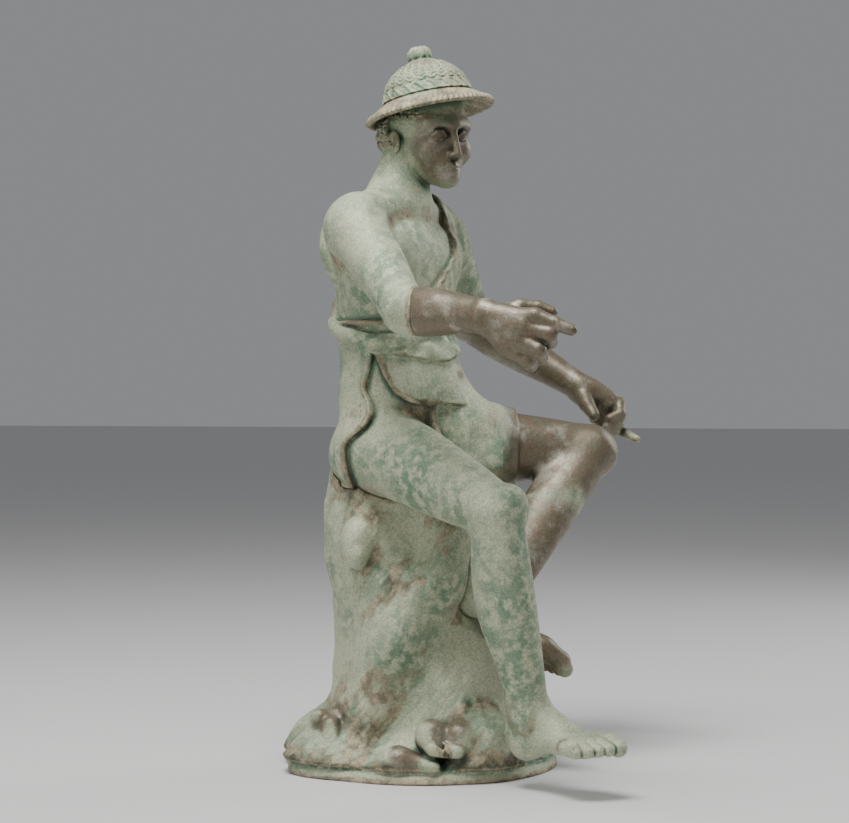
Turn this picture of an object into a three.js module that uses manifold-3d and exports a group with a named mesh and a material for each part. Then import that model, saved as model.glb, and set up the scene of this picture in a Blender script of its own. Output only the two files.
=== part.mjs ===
import * as THREE from 'three'
import { mergeVertices } from 'three/addons/utils/BufferGeometryUtils.js'
import Module from 'manifold-3d'

// A seated bronze youth on a rock, in millimetres, +Z up, facing -Y, with his right side towards -X.
// The origin is the middle of the underside of the base.

// Patina colours
const BRONZE_GREEN = new THREE.Color(0.30, 0.36, 0.29)
const BRONZE_BROWN = new THREE.Color(0.27, 0.26, 0.20)

// Sampling and facets
const FIGURE_CELL = 2.6
const ARM_CELL = 1.9
const ROCK_CELL = 3.4
const FIGURE_FACES = 6400
const ARM_FACES = 900
const ROCK_FACES = 1900
const SEAM_GAP = 0.35
const SEAT_GAP = 0.5

// Places of the joints
const point = (x, y, z) => new THREE.Vector3(x, y, z)
const HEAD = point(0.6, -3, 489)
const RIGHT_HIP = point(-41, 15, 245)
const LEFT_HIP = point(23, 15, 246)
const RIGHT_KNEE = point(-100, -113, 203)
const LEFT_KNEE = point(99, -101, 244)
const RIGHT_ANKLE = point(-71, -125, 57)
const LEFT_ANKLE = point(3, -69, 136)
const RIGHT_SHOULDER = point(-79, 18, 416)
const LEFT_SHOULDER = point(63, 18, 414)
const RIGHT_ELBOW = point(-126, -51, 348)
const LEFT_ELBOW = point(136, 27, 351)
const RIGHT_WRIST = point(-148, -126, 341)
const LEFT_WRIST = point(137, -72, 295)

// Fields: a shape is a distance function of x, y, z with a centre and a reach for skipping it early

function shape(centre, reach, distance) {
  return { centre, reach, distance }
}

// A tapered rod with round ends
function rod(a, b, ra, rb) {
  const axis = b.clone().sub(a)
  const length = axis.length()
  axis.divideScalar(length)
  const slope = (ra - rb) / length
  const cosine = Math.sqrt(1 - slope * slope)
  const { x: ux, y: uy, z: uz } = axis
  const distance = (x, y, z) => {
    const px = x - a.x
    const py = y - a.y
    const pz = z - a.z
    const along = px * ux + py * uy + pz * uz
    const across = Math.sqrt(Math.max(px * px + py * py + pz * pz - along * along, 0))
    const shifted = along - (slope / cosine) * across
    if (shifted < 0) return Math.hypot(along, across) - ra
    if (shifted > length) return Math.hypot(along - length, across) - rb
    return across * cosine + along * slope - ra
  }
  const centre = a.clone().add(b).multiplyScalar(0.5)
  return shape(centre, length / 2 + Math.max(ra, rb), distance)
}

// Three unit vectors: forward, its left hand side and up, as near to the wanted directions as they can be
function frame(forward, up) {
  const f = forward.clone().normalize()
  const u = up.clone().addScaledVector(f, -up.dot(f)).normalize()
  return { f, u, s: u.clone().cross(f) }
}

const UPRIGHT = frame(point(0, -1, 0), point(0, 0, 1))

// An ellipsoid with its half sizes to the front, the side and up
function egg(centre, front, side, up, axes = UPRIGHT) {
  const { f, s, u } = axes
  const distance = (x, y, z) => {
    const px = x - centre.x
    const py = y - centre.y
    const pz = z - centre.z
    const a = (px * f.x + py * f.y + pz * f.z) / front
    const b = (px * s.x + py * s.y + pz * s.z) / side
    const c = (px * u.x + py * u.y + pz * u.z) / up
    const near = Math.sqrt(a * a + b * b + c * c)
    const steep = Math.hypot(a / front, b / side, c / up)
    return steep > 1e-9 ? (near * (near - 1)) / steep : -Math.min(front, side, up)
  }
  return shape(centre, Math.max(front, side, up), distance)
}

// A smooth curve through evenly spread values, read from a short table
function curve(values) {
  const steps = 48
  const last = values.length - 1
  const table = []
  for (let i = 0; i <= steps; i++) {
    const t = (i / steps) * last
    const k = Math.min(Math.floor(t), last - 1)
    const w = t - k
    const before = values[Math.max(k - 1, 0)]
    const after = values[Math.min(k + 2, last)]
    const a = values[k]
    const b = values[k + 1]
    const bend = (2 * before - 5 * a + 4 * b - after) * w + (3 * (a - b) + after - before) * w * w
    table.push(a + 0.5 * w * (b - before + bend))
  }
  return (t) => {
    const place = t * steps
    const k = Math.min(Math.floor(place), steps - 1)
    return table[k] + (table[k + 1] - table[k]) * (place - k)
  }
}

// A limb from a to b whose half widths to the front, back, outer and inner side are curves along it
function limb(a, b, forward, outward, widths, cap = 0.7) {
  const axis = b.clone().sub(a)
  const length = axis.length()
  axis.divideScalar(length)
  const f = forward.clone().addScaledVector(axis, -forward.dot(axis)).normalize()
  const s = axis.clone().cross(f)
  if (s.dot(outward) < 0) s.negate()
  const front = curve(widths.front)
  const back = curve(widths.back)
  const outer = curve(widths.outer)
  const inner = curve(widths.inner)
  const widest = Math.max(...widths.front, ...widths.back, ...widths.outer, ...widths.inner)
  const distance = (x, y, z) => {
    const px = x - a.x
    const py = y - a.y
    const pz = z - a.z
    const along = px * axis.x + py * axis.y + pz * axis.z
    const t = Math.min(Math.max(along / length, 0), 1)
    const over = along - t * length
    const ahead = px * f.x + py * f.y + pz * f.z
    const aside = px * s.x + py * s.y + pz * s.z
    const h = ahead > 0 ? front(t) : back(t)
    const w = aside > 0 ? outer(t) : inner(t)
    const tip = cap * Math.min(h, w)
    const p = ahead / h
    const q = aside / w
    const r = over / tip
    const near = Math.sqrt(p * p + q * q + r * r)
    const steep = Math.hypot(p / h, q / w, r / tip)
    return steep > 1e-9 ? (near * (near - 1)) / steep : -Math.min(h, w)
  }
  return shape(a.clone().add(b).multiplyScalar(0.5), length / 2 + widest, distance)
}

// Shapes grown together, with a soft joint of the given width
function join(soft, shapes) {
  const low = point(Infinity, Infinity, Infinity)
  const high = point(-Infinity, -Infinity, -Infinity)
  for (const { centre, reach } of shapes) {
    low.min(centre.clone().subScalar(reach))
    high.max(centre.clone().addScalar(reach))
  }
  const middle = low.clone().add(high).multiplyScalar(0.5)
  const distance = (x, y, z) => {
    let best = 1e3
    for (const part of shapes) {
      const c = part.centre
      const far = Math.hypot(x - c.x, y - c.y, z - c.z) - part.reach
      if (far > best + soft) continue
      const d = part.distance(x, y, z)
      const h = Math.max(soft - Math.abs(best - d), 0)
      best = Math.min(best, d) - (soft > 0 ? (h * h) / (4 * soft) : 0)
    }
    return best
  }
  return shape(middle, high.distanceTo(low) / 2, distance)
}

// The same shape, which remembers its last answer because two others ask for it in turn
function remembered(part) {
  const last = { x: NaN, y: NaN, z: NaN, d: 0 }
  const distance = (x, y, z) => {
    if (last.x !== x || last.y !== y || last.z !== z) {
      last.x = x
      last.y = y
      last.z = z
      last.d = part.distance(x, y, z)
    }
    return last.d
  }
  return shape(part.centre, part.reach, distance)
}

// Closed surface of a field by cutting every cell into six tetrahedra
function surface(field, low, high, cell) {
  const nx = Math.ceil((high.x - low.x) / cell) + 1
  const ny = Math.ceil((high.y - low.y) / cell) + 1
  const nz = Math.ceil((high.z - low.z) / cell) + 1
  const values = new Float32Array(nx * ny * nz)
  const block = 6
  for (let k0 = 0; k0 < nz; k0 += block) {
    for (let j0 = 0; j0 < ny; j0 += block) {
      for (let i0 = 0; i0 < nx; i0 += block) {
        const half = (block * cell) / 2
        const guess = field.distance(low.x + i0 * cell + half, low.y + j0 * cell + half, low.z + k0 * cell + half)
        const skip = Math.abs(guess) > half * 2.2
        for (let k = k0; k < Math.min(k0 + block, nz); k++) {
          for (let j = j0; j < Math.min(j0 + block, ny); j++) {
            for (let i = i0; i < Math.min(i0 + block, nx); i++) {
              const d = skip ? guess : field.distance(low.x + i * cell, low.y + j * cell, low.z + k * cell)
              values[i + nx * (j + ny * k)] = Math.abs(d) < 1e-5 ? 1e-5 : d
            }
          }
        }
      }
    }
  }
  const steps = [0, 1, nx, nx + 1, nx * ny, nx * ny + 1, nx * ny + nx, nx * ny + nx + 1]
  const tetrahedra = [[0, 1, 3, 7], [0, 3, 2, 7], [0, 2, 6, 7], [0, 6, 4, 7], [0, 4, 5, 7], [0, 5, 1, 7]]
  const corners = []
  const faces = []
  const known = new Map()
  const total = values.length
  const cross = (p, q) => {
    const key = p < q ? p * total + q : q * total + p
    let index = known.get(key)
    if (index === undefined) {
      index = corners.length / 3
      known.set(key, index)
      const w = Math.min(Math.max(values[p] / (values[p] - values[q]), 0.12), 0.88)
      for (const [axisLow, read] of [
        [low.x, (n) => n % nx],
        [low.y, (n) => Math.floor(n / nx) % ny],
        [low.z, (n) => Math.floor(n / (nx * ny))],
      ]) {
        corners.push(axisLow + cell * (read(p) + (read(q) - read(p)) * w))
      }
    }
    return index
  }
  for (let k = 0; k < nz - 1; k++) {
    for (let j = 0; j < ny - 1; j++) {
      for (let i = 0; i < nx - 1; i++) {
        const at = i + nx * (j + ny * k)
        let inside = 0
        for (const step of steps) {
          if (values[at + step] < 0) inside++
        }
        if (inside === 0 || inside === 8) continue
        for (const four of tetrahedra) {
          const nodes = four.map((c) => at + steps[c])
          const within = nodes.filter((n) => values[n] < 0)
          const outside = nodes.filter((n) => values[n] >= 0)
          if (within.length === 0 || outside.length === 0) continue
          const odd = permutationSign(nodes, within.concat(outside))
          const add = (a, b, c) => (odd ? faces.push(a, c, b) : faces.push(a, b, c))
          if (within.length === 1) {
            add(cross(within[0], outside[0]), cross(within[0], outside[1]), cross(within[0], outside[2]))
          } else if (within.length === 3) {
            add(cross(within[0], outside[0]), cross(within[1], outside[0]), cross(within[2], outside[0]))
          } else {
            const a = cross(within[0], outside[0])
            const b = cross(within[0], outside[1])
            const c = cross(within[1], outside[1])
            const d = cross(within[1], outside[0])
            add(a, b, c)
            add(a, c, d)
          }
        }
      }
    }
  }
  return { corners, faces }
}

// True when the new order of four nodes is an odd one
function permutationSign(nodes, order) {
  let swaps = 0
  for (let i = 0; i < 4; i++) {
    for (let j = i + 1; j < 4; j++) {
      if (nodes.indexOf(order[i]) > nodes.indexOf(order[j])) swaps++
    }
  }
  return swaps % 2 === 1
}

// A surface with fewer facets: the edge whose loss changes the planes around it least goes first
function simplify({ corners, faces }, wanted) {
  const count = corners.length / 3
  const place = Float64Array.from(corners)
  const planes = new Float64Array(count * 10)
  const around = Array.from({ length: count }, () => new Set())
  const triangles = []
  for (let f = 0; f < faces.length; f += 3) {
    const triangle = [faces[f], faces[f + 1], faces[f + 2]]
    const index = triangles.push(triangle) - 1
    const [nx, ny, nz, size] = normalOf(place, triangle)
    const d = -(nx * place[triangle[0] * 3] + ny * place[triangle[0] * 3 + 1] + nz * place[triangle[0] * 3 + 2])
    const plane = [nx, ny, nz, d]
    for (const v of triangle) {
      around[v].add(index)
      let slot = v * 10
      for (let i = 0; i < 4; i++) {
        for (let j = i; j < 4; j++) planes[slot++] += plane[i] * plane[j] * size
      }
    }
  }
  const alive = new Uint8Array(triangles.length).fill(1)
  const stamp = new Int32Array(count)
  let left = triangles.length
  const ring = (v) => {
    const near = new Set()
    for (const t of around[v]) for (const w of triangles[t]) if (w !== v) near.add(w)
    return near
  }
  const collapse = (a, b, at) => {
    place.set(at, a * 3)
    for (let i = 0; i < 10; i++) planes[a * 10 + i] += planes[b * 10 + i]
    for (const t of around[b]) {
      const triangle = triangles[t]
      if (triangle.includes(a)) {
        alive[t] = 0
        left--
        for (const v of triangle) if (v !== b) around[v].delete(t)
      } else {
        triangle[triangle.indexOf(b)] = a
        around[a].add(t)
      }
    }
    around[b].clear()
    stamp[b] = -1
    stamp[a]++
  }
  const heap = new EdgeHeap()
  const push = (a, b) => {
    const { cost, at } = bestPoint(planes, place, a, b)
    heap.push({ cost, a, b, at, sa: stamp[a], sb: stamp[b] })
  }
  for (let before = Infinity; left > wanted && left < before * 0.995; ) {
    before = left
    heap.clear()
    triangles.forEach(([a, b, c], t) => {
      if (!alive[t]) return
      if (a < b) push(a, b)
      if (b < c) push(b, c)
      if (c < a) push(c, a)
    })
    while (left > wanted && heap.size > 0) {
      const { a, b, at, sa, sb } = heap.pop()
      if (stamp[a] !== sa || stamp[b] !== sb) continue
      const nearB = ring(b)
      let shared = 0
      for (const v of ring(a)) if (nearB.has(v)) shared++
      if (shared !== 2) continue
      if (turnsOver(place, triangles, around, a, b, at)) continue
      if (turnsOver(place, triangles, around, b, a, at)) continue
      collapse(a, b, at)
      for (const v of ring(a)) push(a, v)
    }
  }
  const used = new Map()
  const outCorners = []
  const outFaces = []
  triangles.forEach((triangle, t) => {
    if (!alive[t]) return
    for (const v of triangle) {
      if (!used.has(v)) {
        used.set(v, outCorners.length / 3)
        outCorners.push(place[v * 3], place[v * 3 + 1], place[v * 3 + 2])
      }
      outFaces.push(used.get(v))
    }
  })
  return { corners: outCorners, faces: outFaces }
}

// Unit normal and area of a triangle
function normalOf(place, [a, b, c]) {
  const ux = place[b * 3] - place[a * 3]
  const uy = place[b * 3 + 1] - place[a * 3 + 1]
  const uz = place[b * 3 + 2] - place[a * 3 + 2]
  const vx = place[c * 3] - place[a * 3]
  const vy = place[c * 3 + 1] - place[a * 3 + 1]
  const vz = place[c * 3 + 2] - place[a * 3 + 2]
  const nx = uy * vz - uz * vy
  const ny = uz * vx - ux * vz
  const nz = ux * vy - uy * vx
  const size = Math.hypot(nx, ny, nz) || 1e-12
  return [nx / size, ny / size, nz / size, size / 2]
}

// The place for two merged corners that keeps nearest to the planes of both
function bestPoint(planes, place, a, b) {
  const q = new Float64Array(10)
  for (let i = 0; i < 10; i++) q[i] = planes[a * 10 + i] + planes[b * 10 + i]
  const error = (x, y, z) =>
    q[0] * x * x + 2 * q[1] * x * y + 2 * q[2] * x * z + 2 * q[3] * x + q[4] * y * y + 2 * q[5] * y * z +
    2 * q[6] * y + q[7] * z * z + 2 * q[8] * z + q[9]
  const pa = [place[a * 3], place[a * 3 + 1], place[a * 3 + 2]]
  const pb = [place[b * 3], place[b * 3 + 1], place[b * 3 + 2]]
  const mid = [(pa[0] + pb[0]) / 2, (pa[1] + pb[1]) / 2, (pa[2] + pb[2]) / 2]
  const choices = [mid, pa, pb]
  const span = Math.hypot(pa[0] - pb[0], pa[1] - pb[1], pa[2] - pb[2])
  const det =
    q[0] * (q[4] * q[7] - q[5] * q[5]) - q[1] * (q[1] * q[7] - q[5] * q[2]) + q[2] * (q[1] * q[5] - q[4] * q[2])
  const scale = (q[0] + q[4] + q[7]) / 3
  if (det > 1e-4 * scale * scale * scale) {
    const x = -(q[3] * (q[4] * q[7] - q[5] * q[5]) - q[1] * (q[6] * q[7] - q[5] * q[8]) +
      q[2] * (q[6] * q[5] - q[4] * q[8])) / det
    const y = -(q[0] * (q[6] * q[7] - q[8] * q[5]) - q[3] * (q[1] * q[7] - q[5] * q[2]) +
      q[2] * (q[1] * q[8] - q[6] * q[2])) / det
    const z = -(q[0] * (q[4] * q[8] - q[5] * q[6]) - q[1] * (q[1] * q[8] - q[6] * q[2]) +
      q[3] * (q[1] * q[5] - q[4] * q[2])) / det
    if (Math.hypot(x - mid[0], y - mid[1], z - mid[2]) < 2 * span) choices.push([x, y, z])
  }
  let best = null
  for (const at of choices) {
    const cost = error(...at) + 2e-5 * span ** 4
    if (!best || cost < best.cost) best = { cost, at }
  }
  const length = (pa[0] - pb[0]) ** 2 + (pa[1] - pb[1]) ** 2 + (pa[2] - pb[2]) ** 2
  best.cost = Math.max(best.cost, 0) + 1e-4 * length
  return best
}

// Area of a triangle of three corner places against its longest side squared
function fatness(places, size) {
  const longest = Math.max(
    Math.hypot(places[0] - places[3], places[1] - places[4], places[2] - places[5]),
    Math.hypot(places[3] - places[6], places[4] - places[7], places[5] - places[8]),
    Math.hypot(places[6] - places[0], places[7] - places[1], places[8] - places[2]),
  )
  return size / (longest * longest)
}

// True when moving corner v to a new place would turn one of its triangles over or make it a sliver
function turnsOver(place, triangles, around, v, other, at) {
  for (const t of around[v]) {
    const triangle = triangles[t]
    if (triangle.includes(other)) continue
    const before = normalOf(place, triangle)
    const k = triangle.indexOf(v)
    const b = triangle[(k + 1) % 3]
    const c = triangle[(k + 2) % 3]
    const fixed = [place[b * 3], place[b * 3 + 1], place[b * 3 + 2], place[c * 3], place[c * 3 + 1],
      place[c * 3 + 2]]
    const moved = [...at, ...fixed]
    const after = normalOf(moved, [0, 1, 2])
    if (before[3] < 0.04 && after[3] < 0.2) continue
    if (before[0] * after[0] + before[1] * after[1] + before[2] * after[2] < 0.2) return true
    const slim = fatness(moved, after[3])
    if (slim < 0.01 && slim < fatness([place[v * 3], place[v * 3 + 1], place[v * 3 + 2], ...fixed], before[3])) {
      return true
    }
  }
  return false
}

// A heap that gives the cheapest edge first
class EdgeHeap {
  constructor() {
    this.items = []
  }

  get size() {
    return this.items.length
  }

  clear() {
    this.items.length = 0
  }

  push(item) {
    const items = this.items
    let i = items.push(item) - 1
    while (i > 0) {
      const parent = (i - 1) >> 1
      if (items[parent].cost <= item.cost) break
      items[i] = items[parent]
      i = parent
    }
    items[i] = item
  }

  pop() {
    const items = this.items
    const top = items[0]
    const last = items.pop()
    if (items.length === 0) return top
    let i = 0
    for (;;) {
      let child = 2 * i + 1
      if (child >= items.length) break
      if (child + 1 < items.length && items[child + 1].cost < items[child].cost) child++
      if (items[child].cost >= last.cost) break
      items[i] = items[child]
      i = child
    }
    items[i] = last
    return top
  }
}

// The body

const FRONT = point(0, -1, 0)
const UP = point(0, 0, 1)
const LEFT = point(1, 0, 0)
const RIGHT = point(-1, 0, 0)

// A place reached from an origin by steps forward, to the side and up in a frame
function from(origin, axes, forward, side, up) {
  return origin.clone()
    .addScaledVector(axes.f, forward)
    .addScaledVector(axes.s, side)
    .addScaledVector(axes.u, up)
}

function torso() {
  const trunk = limb(point(-9, 21, 222), point(-8, 20, 440), FRONT, LEFT, {
    front: [28, 36, 40, 37, 36, 38, 33, 16],
    back: [30, 34, 39, 40, 44, 45, 40, 16],
    outer: [44, 52, 50, 46, 49, 56, 58, 20],
    inner: [44, 52, 50, 46, 49, 56, 58, 20],
  }, 0.5)
  const chest = [-1, 1].map((side) => egg(point(-9 + side * 25, -4, 398), 12, 29, 19))
  const shoulderBlades = [-1, 1].map((side) => egg(point(-9 + side * 36, 50, 404), 14, 22, 26))
  const collar = [
    rod(point(-16, 3, 436), RIGHT_SHOULDER.clone().add(point(6, -6, 12)), 6, 8),
    rod(point(0, 3, 436), LEFT_SHOULDER.clone().add(point(-6, -6, 12)), 6, 8),
    rod(point(-12, 22, 444), RIGHT_SHOULDER.clone().add(point(8, 4, 6)), 15, 15),
    rod(point(-4, 22, 444), LEFT_SHOULDER.clone().add(point(-8, 2, 6)), 15, 15),
  ]
  const neck = limb(point(-8, 20, 430), point(-5, 12, 482), FRONT, LEFT, {
    front: [22, 20, 20, 21],
    back: [26, 23, 21, 20],
    outer: [26, 22, 20.5, 20],
    inner: [26, 22, 20.5, 20],
  })
  const belly = egg(point(-9, -2, 290), 18, 32, 32)
  const seat = [egg(point(-37, 27, 242), 30, 29, 25), egg(point(19, 27, 242), 30, 29, 25)]
  return join(14, [trunk, ...chest, ...shoulderBlades, ...collar, neck, belly, ...seat])
}

// Upper arm with its shoulder
function upperArm(shoulder, elbow, outward) {
  const muscle = limb(shoulder, elbow, point(0, -1, 0.3), outward, {
    front: [20, 21, 20.5, 18, 16.5],
    back: [21, 22, 20, 18, 17],
    outer: [20, 21, 19, 17, 16.5],
    inner: [19, 20, 19, 17, 16],
  })
  const cap = egg(shoulder.clone().addScaledVector(outward, 1).add(point(0, 0, -4)), 22, 21, 24)
  return join(10, [muscle, cap])
}

// Forearm from elbow to wrist
function forearm(elbow, wrist, up, outward) {
  return limb(elbow, wrist, up, outward, {
    front: [16.5, 17.5, 16.5, 14, 12],
    back: [17.5, 18, 16, 13, 11],
    outer: [16.5, 18, 16.5, 13, 11],
    inner: [16.5, 17.5, 16, 13, 11],
  })
}

// A finger through its joints, with a radius at each
function finger(joints, radii) {
  const bones = []
  for (let i = 0; i + 1 < joints.length; i++) {
    bones.push(rod(joints[i], joints[i + 1], radii[i], radii[i + 1]))
  }
  return join(1.5, bones)
}

// The pointing right hand, held upright with the palm towards the body
function rightHand() {
  const palm = limb(RIGHT_WRIST, point(-150, -156, 330), RIGHT, UP, {
    front: [11, 9.5, 8.5, 7],
    back: [11, 10, 9, 8],
    outer: [11.5, 13, 13.5, 13],
    inner: [12.5, 15, 18, 17],
  })
  const heel = egg(point(-144, -142, 326), 12, 9, 13)
  const index = finger(
    [point(-147, -150, 339), point(-148, -164, 340), point(-145, -178, 335), point(-142, -189, 330.5)],
    [7.5, 6.2, 5, 4],
  )
  const middle = finger(
    [point(-150, -153, 333), point(-147, -174, 328), point(-136, -170, 323), point(-133, -160, 325)],
    [7, 5.8, 5, 4.5],
  )
  const ring = finger(
    [point(-151, -150, 325), point(-149.5, -167, 317), point(-138, -164, 313), point(-134, -154, 317)],
    [7, 5.8, 5, 4.5],
  )
  const little = finger(
    [point(-149, -146, 318), point(-148.5, -159, 310), point(-139, -157, 307), point(-134, -148, 311)],
    [6.5, 5.2, 4.6, 4.2],
  )
  const thumb = finger(
    [point(-142, -133, 341), point(-135, -147, 347), point(-129, -158, 347), point(-126, -167, 344)],
    [8, 6.3, 5, 4],
  )
  return join(4, [palm, heel, join(2.2, [index, middle, ring, little]), thumb])
}

// The loosely closed left hand beside the knee
function leftHand() {
  const palm = limb(LEFT_WRIST, point(144, -94, 282), point(1, 0.2, 0.3), UP, {
    front: [11, 9, 8, 7],
    back: [11, 9, 7, 6],
    outer: [12, 13, 12.5, 11],
    inner: [13, 15, 15, 14],
  })
  const index = finger(
    [point(143, -91, 288), point(147, -104, 281), point(141, -107, 273), point(134, -101, 269)],
    [6.6, 5.4, 4.8, 4.2],
  )
  const middle = finger(
    [point(146, -91, 283), point(149, -103, 273), point(141, -105, 265), point(134, -99, 263)],
    [6.6, 5.6, 4.8, 4.2],
  )
  const ring = finger(
    [point(146, -88, 276), point(148, -100, 265), point(140, -102, 259), point(134, -96, 259)],
    [6.6, 5.4, 4.8, 4.2],
  )
  const little = finger(
    [point(145, -84, 270), point(150, -99, 261), point(151, -109, 256), point(150, -118, 252.5)],
    [6, 4.8, 3.8, 3],
  )
  const thumb = finger([point(134, -76, 290), point(126, -84, 281), point(122, -92, 272)], [8.5, 6.5, 4.8])
  return join(4, [palm, join(2, [index, middle, ring, little]), thumb])
}

// A leg from hip to ankle
function leg(hip, knee, ankle, outward, shinFront) {
  const thigh = limb(hip, knee, UP, outward, {
    front: [31, 33, 29.5, 25, 20],
    back: [33, 30, 27, 24, 20],
    outer: [33, 31, 28, 24, 20],
    inner: [30, 30, 27, 23, 19.5],
  })
  const shank = limb(knee, ankle, shinFront, outward, {
    front: [17, 17, 16.5, 15, 13.5],
    back: [19, 26, 27, 20, 14.5],
    outer: [20, 22, 20.5, 15.5, 12],
    inner: [20, 21.5, 20, 15, 12],
  })
  const kneecap = egg(knee.clone().addScaledVector(shinFront, 10).add(point(0, 0, 3)), 10, 12, 14)
  return join(9, [thigh, shank, kneecap])
}

// A foot in a frame whose origin is under the heel, for a foot of the given length
function foot(knee, ankle, origin, axes, inside, length) {
  const scale = length / 100
  const at = (forward, side, up) => from(origin, axes, forward * scale, side * inside * scale, up * scale)
  const heel = egg(at(14, 0, 14), 14, 12.5, 15, axes)
  const middle = limb(at(16, 0, 12), at(72, 1, 9), axes.u, axes.s.clone().multiplyScalar(inside), {
    front: [20, 19, 15, 10, 6.5],
    back: [12, 9, 8, 8.5, 8.5],
    outer: [12, 12, 14, 18, 19],
    inner: [12, 13, 16, 18, 18],
  })
  const instep = rod(ankle, at(50, 2, 17), 14, 9.5)
  const tendon = rod(at(8, 0, 20), ankle.clone().lerp(knee, 0.16).addScaledVector(axes.f, -7), 8, 8)
  const knuckles = [
    egg(ankle.clone().addScaledVector(axes.s, inside * 10).addScaledVector(axes.u, 2), 8, 6, 8, axes),
    egg(ankle.clone().addScaledVector(axes.s, -inside * 10).addScaledVector(axes.u, -3), 8, 6, 8, axes),
  ]
  const toes = [
    [11.5, 11.5, 100, 7.4, 6.4],
    [3.2, 1.5, 98, 5.6, 4.8],
    [-4, -5.5, 93, 5.2, 4.5],
    [-10.5, -12.5, 87, 5, 4.3],
    [-16, -18, 80, 4.8, 4],
  ].map(([start, end, reach, root, tip]) => {
    return finger([at(72, start, 9), at(reach - 12, end, 8.5), at(reach - tip, end, 5.5)], [root + 1, root, tip])
  })
  return join(8, [heel, middle, instep, tendon, ...knuckles, join(0.8, toes)])
}

// The head, turned a little to his right

const HEAD_AXES = frame(point(-0.44, -0.89, -0.1), point(-0.02, 0.05, 1))
const HAT_AXIS = point(-0.06, 0.18, 0.98).normalize()
const HAT_CENTRE = point(2, -4, 510)

function head() {
  const at = (forward, side, up) => from(HEAD, HEAD_AXES, forward, side, up)
  const skull = egg(at(-7, 0, 14), 37, 31, 32, HEAD_AXES)
  const face = egg(at(12, 0, -6), 23, 24.5, 36, HEAD_AXES)
  const jaw = rod(at(20, 0, -31), at(4, 0, -24), 10, 20)
  const chin = egg(at(27, 0, -34), 7.5, 9, 7, HEAD_AXES)
  const brow = egg(at(25, 0, 12), 9.5, 22, 6.5, HEAD_AXES)
  const cheeks = [-1, 1].map((side) => egg(at(21, side * 15, -9), 9, 9, 10, HEAD_AXES))
  const nose = join(3, [
    rod(at(33, 0, 8), at(40.5, 0, -9), 3.2, 4),
    egg(at(36.5, -4, -10.5), 4, 3, 3, HEAD_AXES),
    egg(at(36.5, 4, -10.5), 4, 3, 3, HEAD_AXES),
  ])
  const lips = [egg(at(31.8, 0, -18.8), 4.2, 8.5, 2.6, HEAD_AXES), egg(at(31.2, 0, -22.8), 4.2, 7, 2.7, HEAD_AXES)]
  const ears = [-1, 1].map((side) => egg(at(-5, side * 31, -4), 7.5, 3.2, 10.5, HEAD_AXES))
  const solid = join(6, [skull, face, jaw, chin, brow, ...cheeks])
  return join(2.5, [solid, nose, ...lips, ...ears, hair()])
}

// Short curls in rows round the back and sides of the head and over the forehead
function hair() {
  const locks = []
  for (let row = 0; row < 3; row++) {
    const up = 12 - row * 9
    const from = row === 0 ? 40 : 78
    const step = 17
    for (let angle = from + (row % 2) * 8; angle <= 360 - from; angle += step) {
      const turn = (angle * Math.PI) / 180
      const back = -7 + 37 * Math.cos(turn) * (row === 2 ? 0.9 : 1)
      const side = 31.5 * Math.sin(turn) * (row === 2 ? 0.9 : 1)
      locks.push(egg(fromHead(back, side, up), 6, 6, 6.5))
    }
  }
  return join(1.5, locks)
}

function fromHead(forward, side, up) {
  return from(HEAD, HEAD_AXES, forward, side, up)
}

// The straw hat: a dome with a knob over a brim, turned about its own leaning axis
function hat() {
  const outline = [
    [0, 52.5], [6, 51.6], [9.3, 48.5], [9.6, 45], [8.6, 41.5], [12.5, 39.8], [19, 36.6], [26, 31.4],
    [31.5, 24.8], [34.3, 17], [35.8, 10.8], [42, 6.2], [49.6, 1.6], [51.2, -1], [49.8, -3], [46.5, -2.2],
    [38, 2.2], [33, 5], [28, 8], [0, 8],
  ]
  const distance = (x, y, z) => {
    const px = x - HAT_CENTRE.x
    const py = y - HAT_CENTRE.y
    const pz = z - HAT_CENTRE.z
    const along = px * HAT_AXIS.x + py * HAT_AXIS.y + pz * HAT_AXIS.z
    const across = Math.sqrt(Math.max(px * px + py * py + pz * pz - along * along, 0))
    return outlineDistance(outline, across, along)
  }
  return shape(HAT_CENTRE, 62, distance)
}

// Distance to a closed outline of (radius, height) points, negative inside it
function outlineDistance(outline, across, along) {
  let nearest = Infinity
  let inside = false
  for (let i = 0; i < outline.length; i++) {
    const [r0, h0] = outline[i]
    const [r1, h1] = outline[(i + 1) % outline.length]
    const dr = r1 - r0
    const dh = h1 - h0
    const t = Math.min(Math.max(((across - r0) * dr + (along - h0) * dh) / (dr * dr + dh * dh), 0), 1)
    nearest = Math.min(nearest, Math.hypot(across - r0 - t * dr, along - h0 - t * dh))
    if (h0 > along !== h1 > along && across < r0 + ((along - h0) / dh) * dr) inside = !inside
  }
  return inside ? -nearest : nearest
}

// The tunic: the body's form grown a little, with the edges of the cloth cut out of it

const CLOTH = 3
const HEM = 75
const HEM_LOW = 216

// A piecewise straight function through (place, value) pairs
function through(pairs, place) {
  let k = 0
  while (k < pairs.length - 2 && place > pairs[k + 1][0]) k++
  const [p0, v0] = pairs[k]
  const [p1, v1] = pairs[k + 1]
  const t = Math.min(Math.max((place - p0) / (p1 - p0), 0), 1)
  return v0 + (v1 - v0) * t
}

const NECKLINE = [[330, -62], [340, -52], [360, -29], [381, -8], [400, 15], [424, 23], [446, 27], [470, 30]]
const THIGH_EDGE = [[-84, 4], [-72, -7], [-48, -31], [-32, -45], [-9, -64], [10, -70]]
const SLIT_FRONT = [[268, -48], [281, -32], [284, -17], [289, -9], [315, 9], [335, 14]]
const SLIT_BACK = [[225, 22], [252, 26], [260, 14], [272, 4], [284, 9], [294, 18], [306, 13], [320, 11]]

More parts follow.
